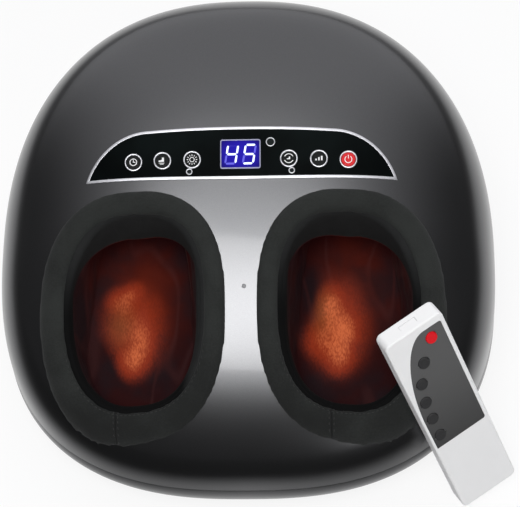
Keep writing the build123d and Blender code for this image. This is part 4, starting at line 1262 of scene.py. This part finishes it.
# Studio. A white floor that glossy rays see bright only near the object, a soft sky that is brightest
# above and behind, two soft lamps, and the camera that took the photograph, above the front.
floor_size = 14
floor_glow = 0.86
beside_fade, front_fade, back_fade = 0.36, 0.155, 1.2
near_power = 1.15
back_share, back_depth = 0.25, 0.25
bright_until, dark_from = 0.7, 1.9
floor = start("floor", bpy.ops.mesh.primitive_plane_add, size=floor_size)
floor_white = Finish("studio floor white", roughness=0.9, specular_ior_level=0.1)
floor_x, floor_y = floor_white.axes(floor_white.place)[:2]
beside = floor_x.size() / beside_fade
fore_aft = floor_y.at_least(0.0) / back_fade - floor_y.at_most(0.0) / front_fade
away = (beside**near_power + fore_aft**near_power) ** (1 / near_power)
away = away * (1 - back_share * floor_y.rise(0.0, back_depth))
nearness = away.rise(dark_from, bright_until)
rays = floor_white.node("ShaderNodeLightPath").socket.node.outputs
camera_ray, glossy_ray, clear_ray = (
    Level(floor_white, rays[name]) for name in ("Is Camera Ray", "Is Glossy Ray", "Is Transmission Ray")
)
pale = floor_white.tint(floor_white.noise(2.0), grey(0.84, 0.85), grey(0.86, 0.87))
floor_white.wear(base_color=floor_white.tint((1 - nearness) * glossy_ray, pale, grey(0.03)))
glow_white = floor_white.node("ShaderNodeEmission", None, {"Color": grey(1.0), "Strength": 1.0})
seen = floor_glow * (camera_ray + clear_ray) + nearness * glossy_ray
lit_floor = Level(floor_white, floor_white.shader.outputs[0])
mixed = floor_white.node("ShaderNodeMixShader", None, {0: seen, 1: lit_floor, 2: glow_white})
floor_white.feed(floor_white.tree.nodes["Material Output"].inputs["Surface"], mixed)
floor_white.on(floor)
floor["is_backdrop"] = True

sky_low, sky_high = 0.085, 1.05
world = bpy.data.worlds.new("soft sky")
bpy.context.scene.world = world
sky = Network(world)
across, along, upward = sky.axes(sky.node("ShaderNodeTexCoord", output="Generated"))
open_sky = (along + 0.4 * upward - 0.9 * across.size()).rise(-0.5, 0.4)
sky_sockets = sky.tree.nodes["Background"].inputs
sky.feed(sky_sockets["Color"], (0.97, 0.97, 1.0))
sky.feed(sky_sockets["Strength"], sky_low + (sky_high - sky_low) * open_sky)


def lamp(name, place, target, size, length, power):
    """Rectangular soft lamp that faces a target."""
    data = bpy.data.lights.new(name, "AREA")
    data.shape = "RECTANGLE"
    data.size = size
    data.size_y = length
    data.energy = power
    piece = bpy.data.objects.new(name, data)
    bpy.context.scene.collection.objects.link(piece)
    piece.location = place
    piece.rotation_euler = (Vector(target) - Vector(place)).to_track_quat("-Z", "Y").to_euler()


lamp("pillar lamp", (-0.117, -0.775, 1.915), (0, -0.06, 0.16), 0.80, 0.83, 23)
lamp("remote lamp", (0.90, -1.28, 0.70), (0.14, -0.16, 0.10), 1.0, 1.0, 5.5)

azimuth, elevation, roll = radians(6.401), radians(60), radians(-6.241)
camera_distance = 1.6
camera_target = Vector((0, 0, 100 * mm))
pixels_per_metre = 1245
picture_width, picture_height = 520, 507
middle_pixel = (246.33, 249.241)
back = Vector((sin(azimuth) * cos(elevation), -cos(azimuth) * cos(elevation), sin(elevation)))
right = Vector((cos(azimuth), sin(azimuth), 0))
up = back.cross(right)
tilted_right = right * cos(roll) + up * sin(roll)
tilted_up = up * cos(roll) - right * sin(roll)
camera_data = bpy.data.cameras.new("camera")
camera_data.sensor_width = 36
camera_data.lens = pixels_per_metre * camera_distance * camera_data.sensor_width / picture_width
camera_data.shift_x = (picture_width / 2 - middle_pixel[0]) / picture_width
camera_data.shift_y = (middle_pixel[1] - picture_height / 2) / picture_width
camera = bpy.data.objects.new("camera", camera_data)
bpy.context.scene.collection.objects.link(camera)
camera_turn = Matrix((tilted_right, tilted_up, back)).transposed().to_4x4()
camera.matrix_world = Matrix.Translation(camera_target + back * camera_distance) @ camera_turn
bpy.context.scene.camera = camera
bpy.context.scene.view_settings.view_transform = "Standard"

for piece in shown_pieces():
    if piece.type == "MESH":
        piece.data.update()
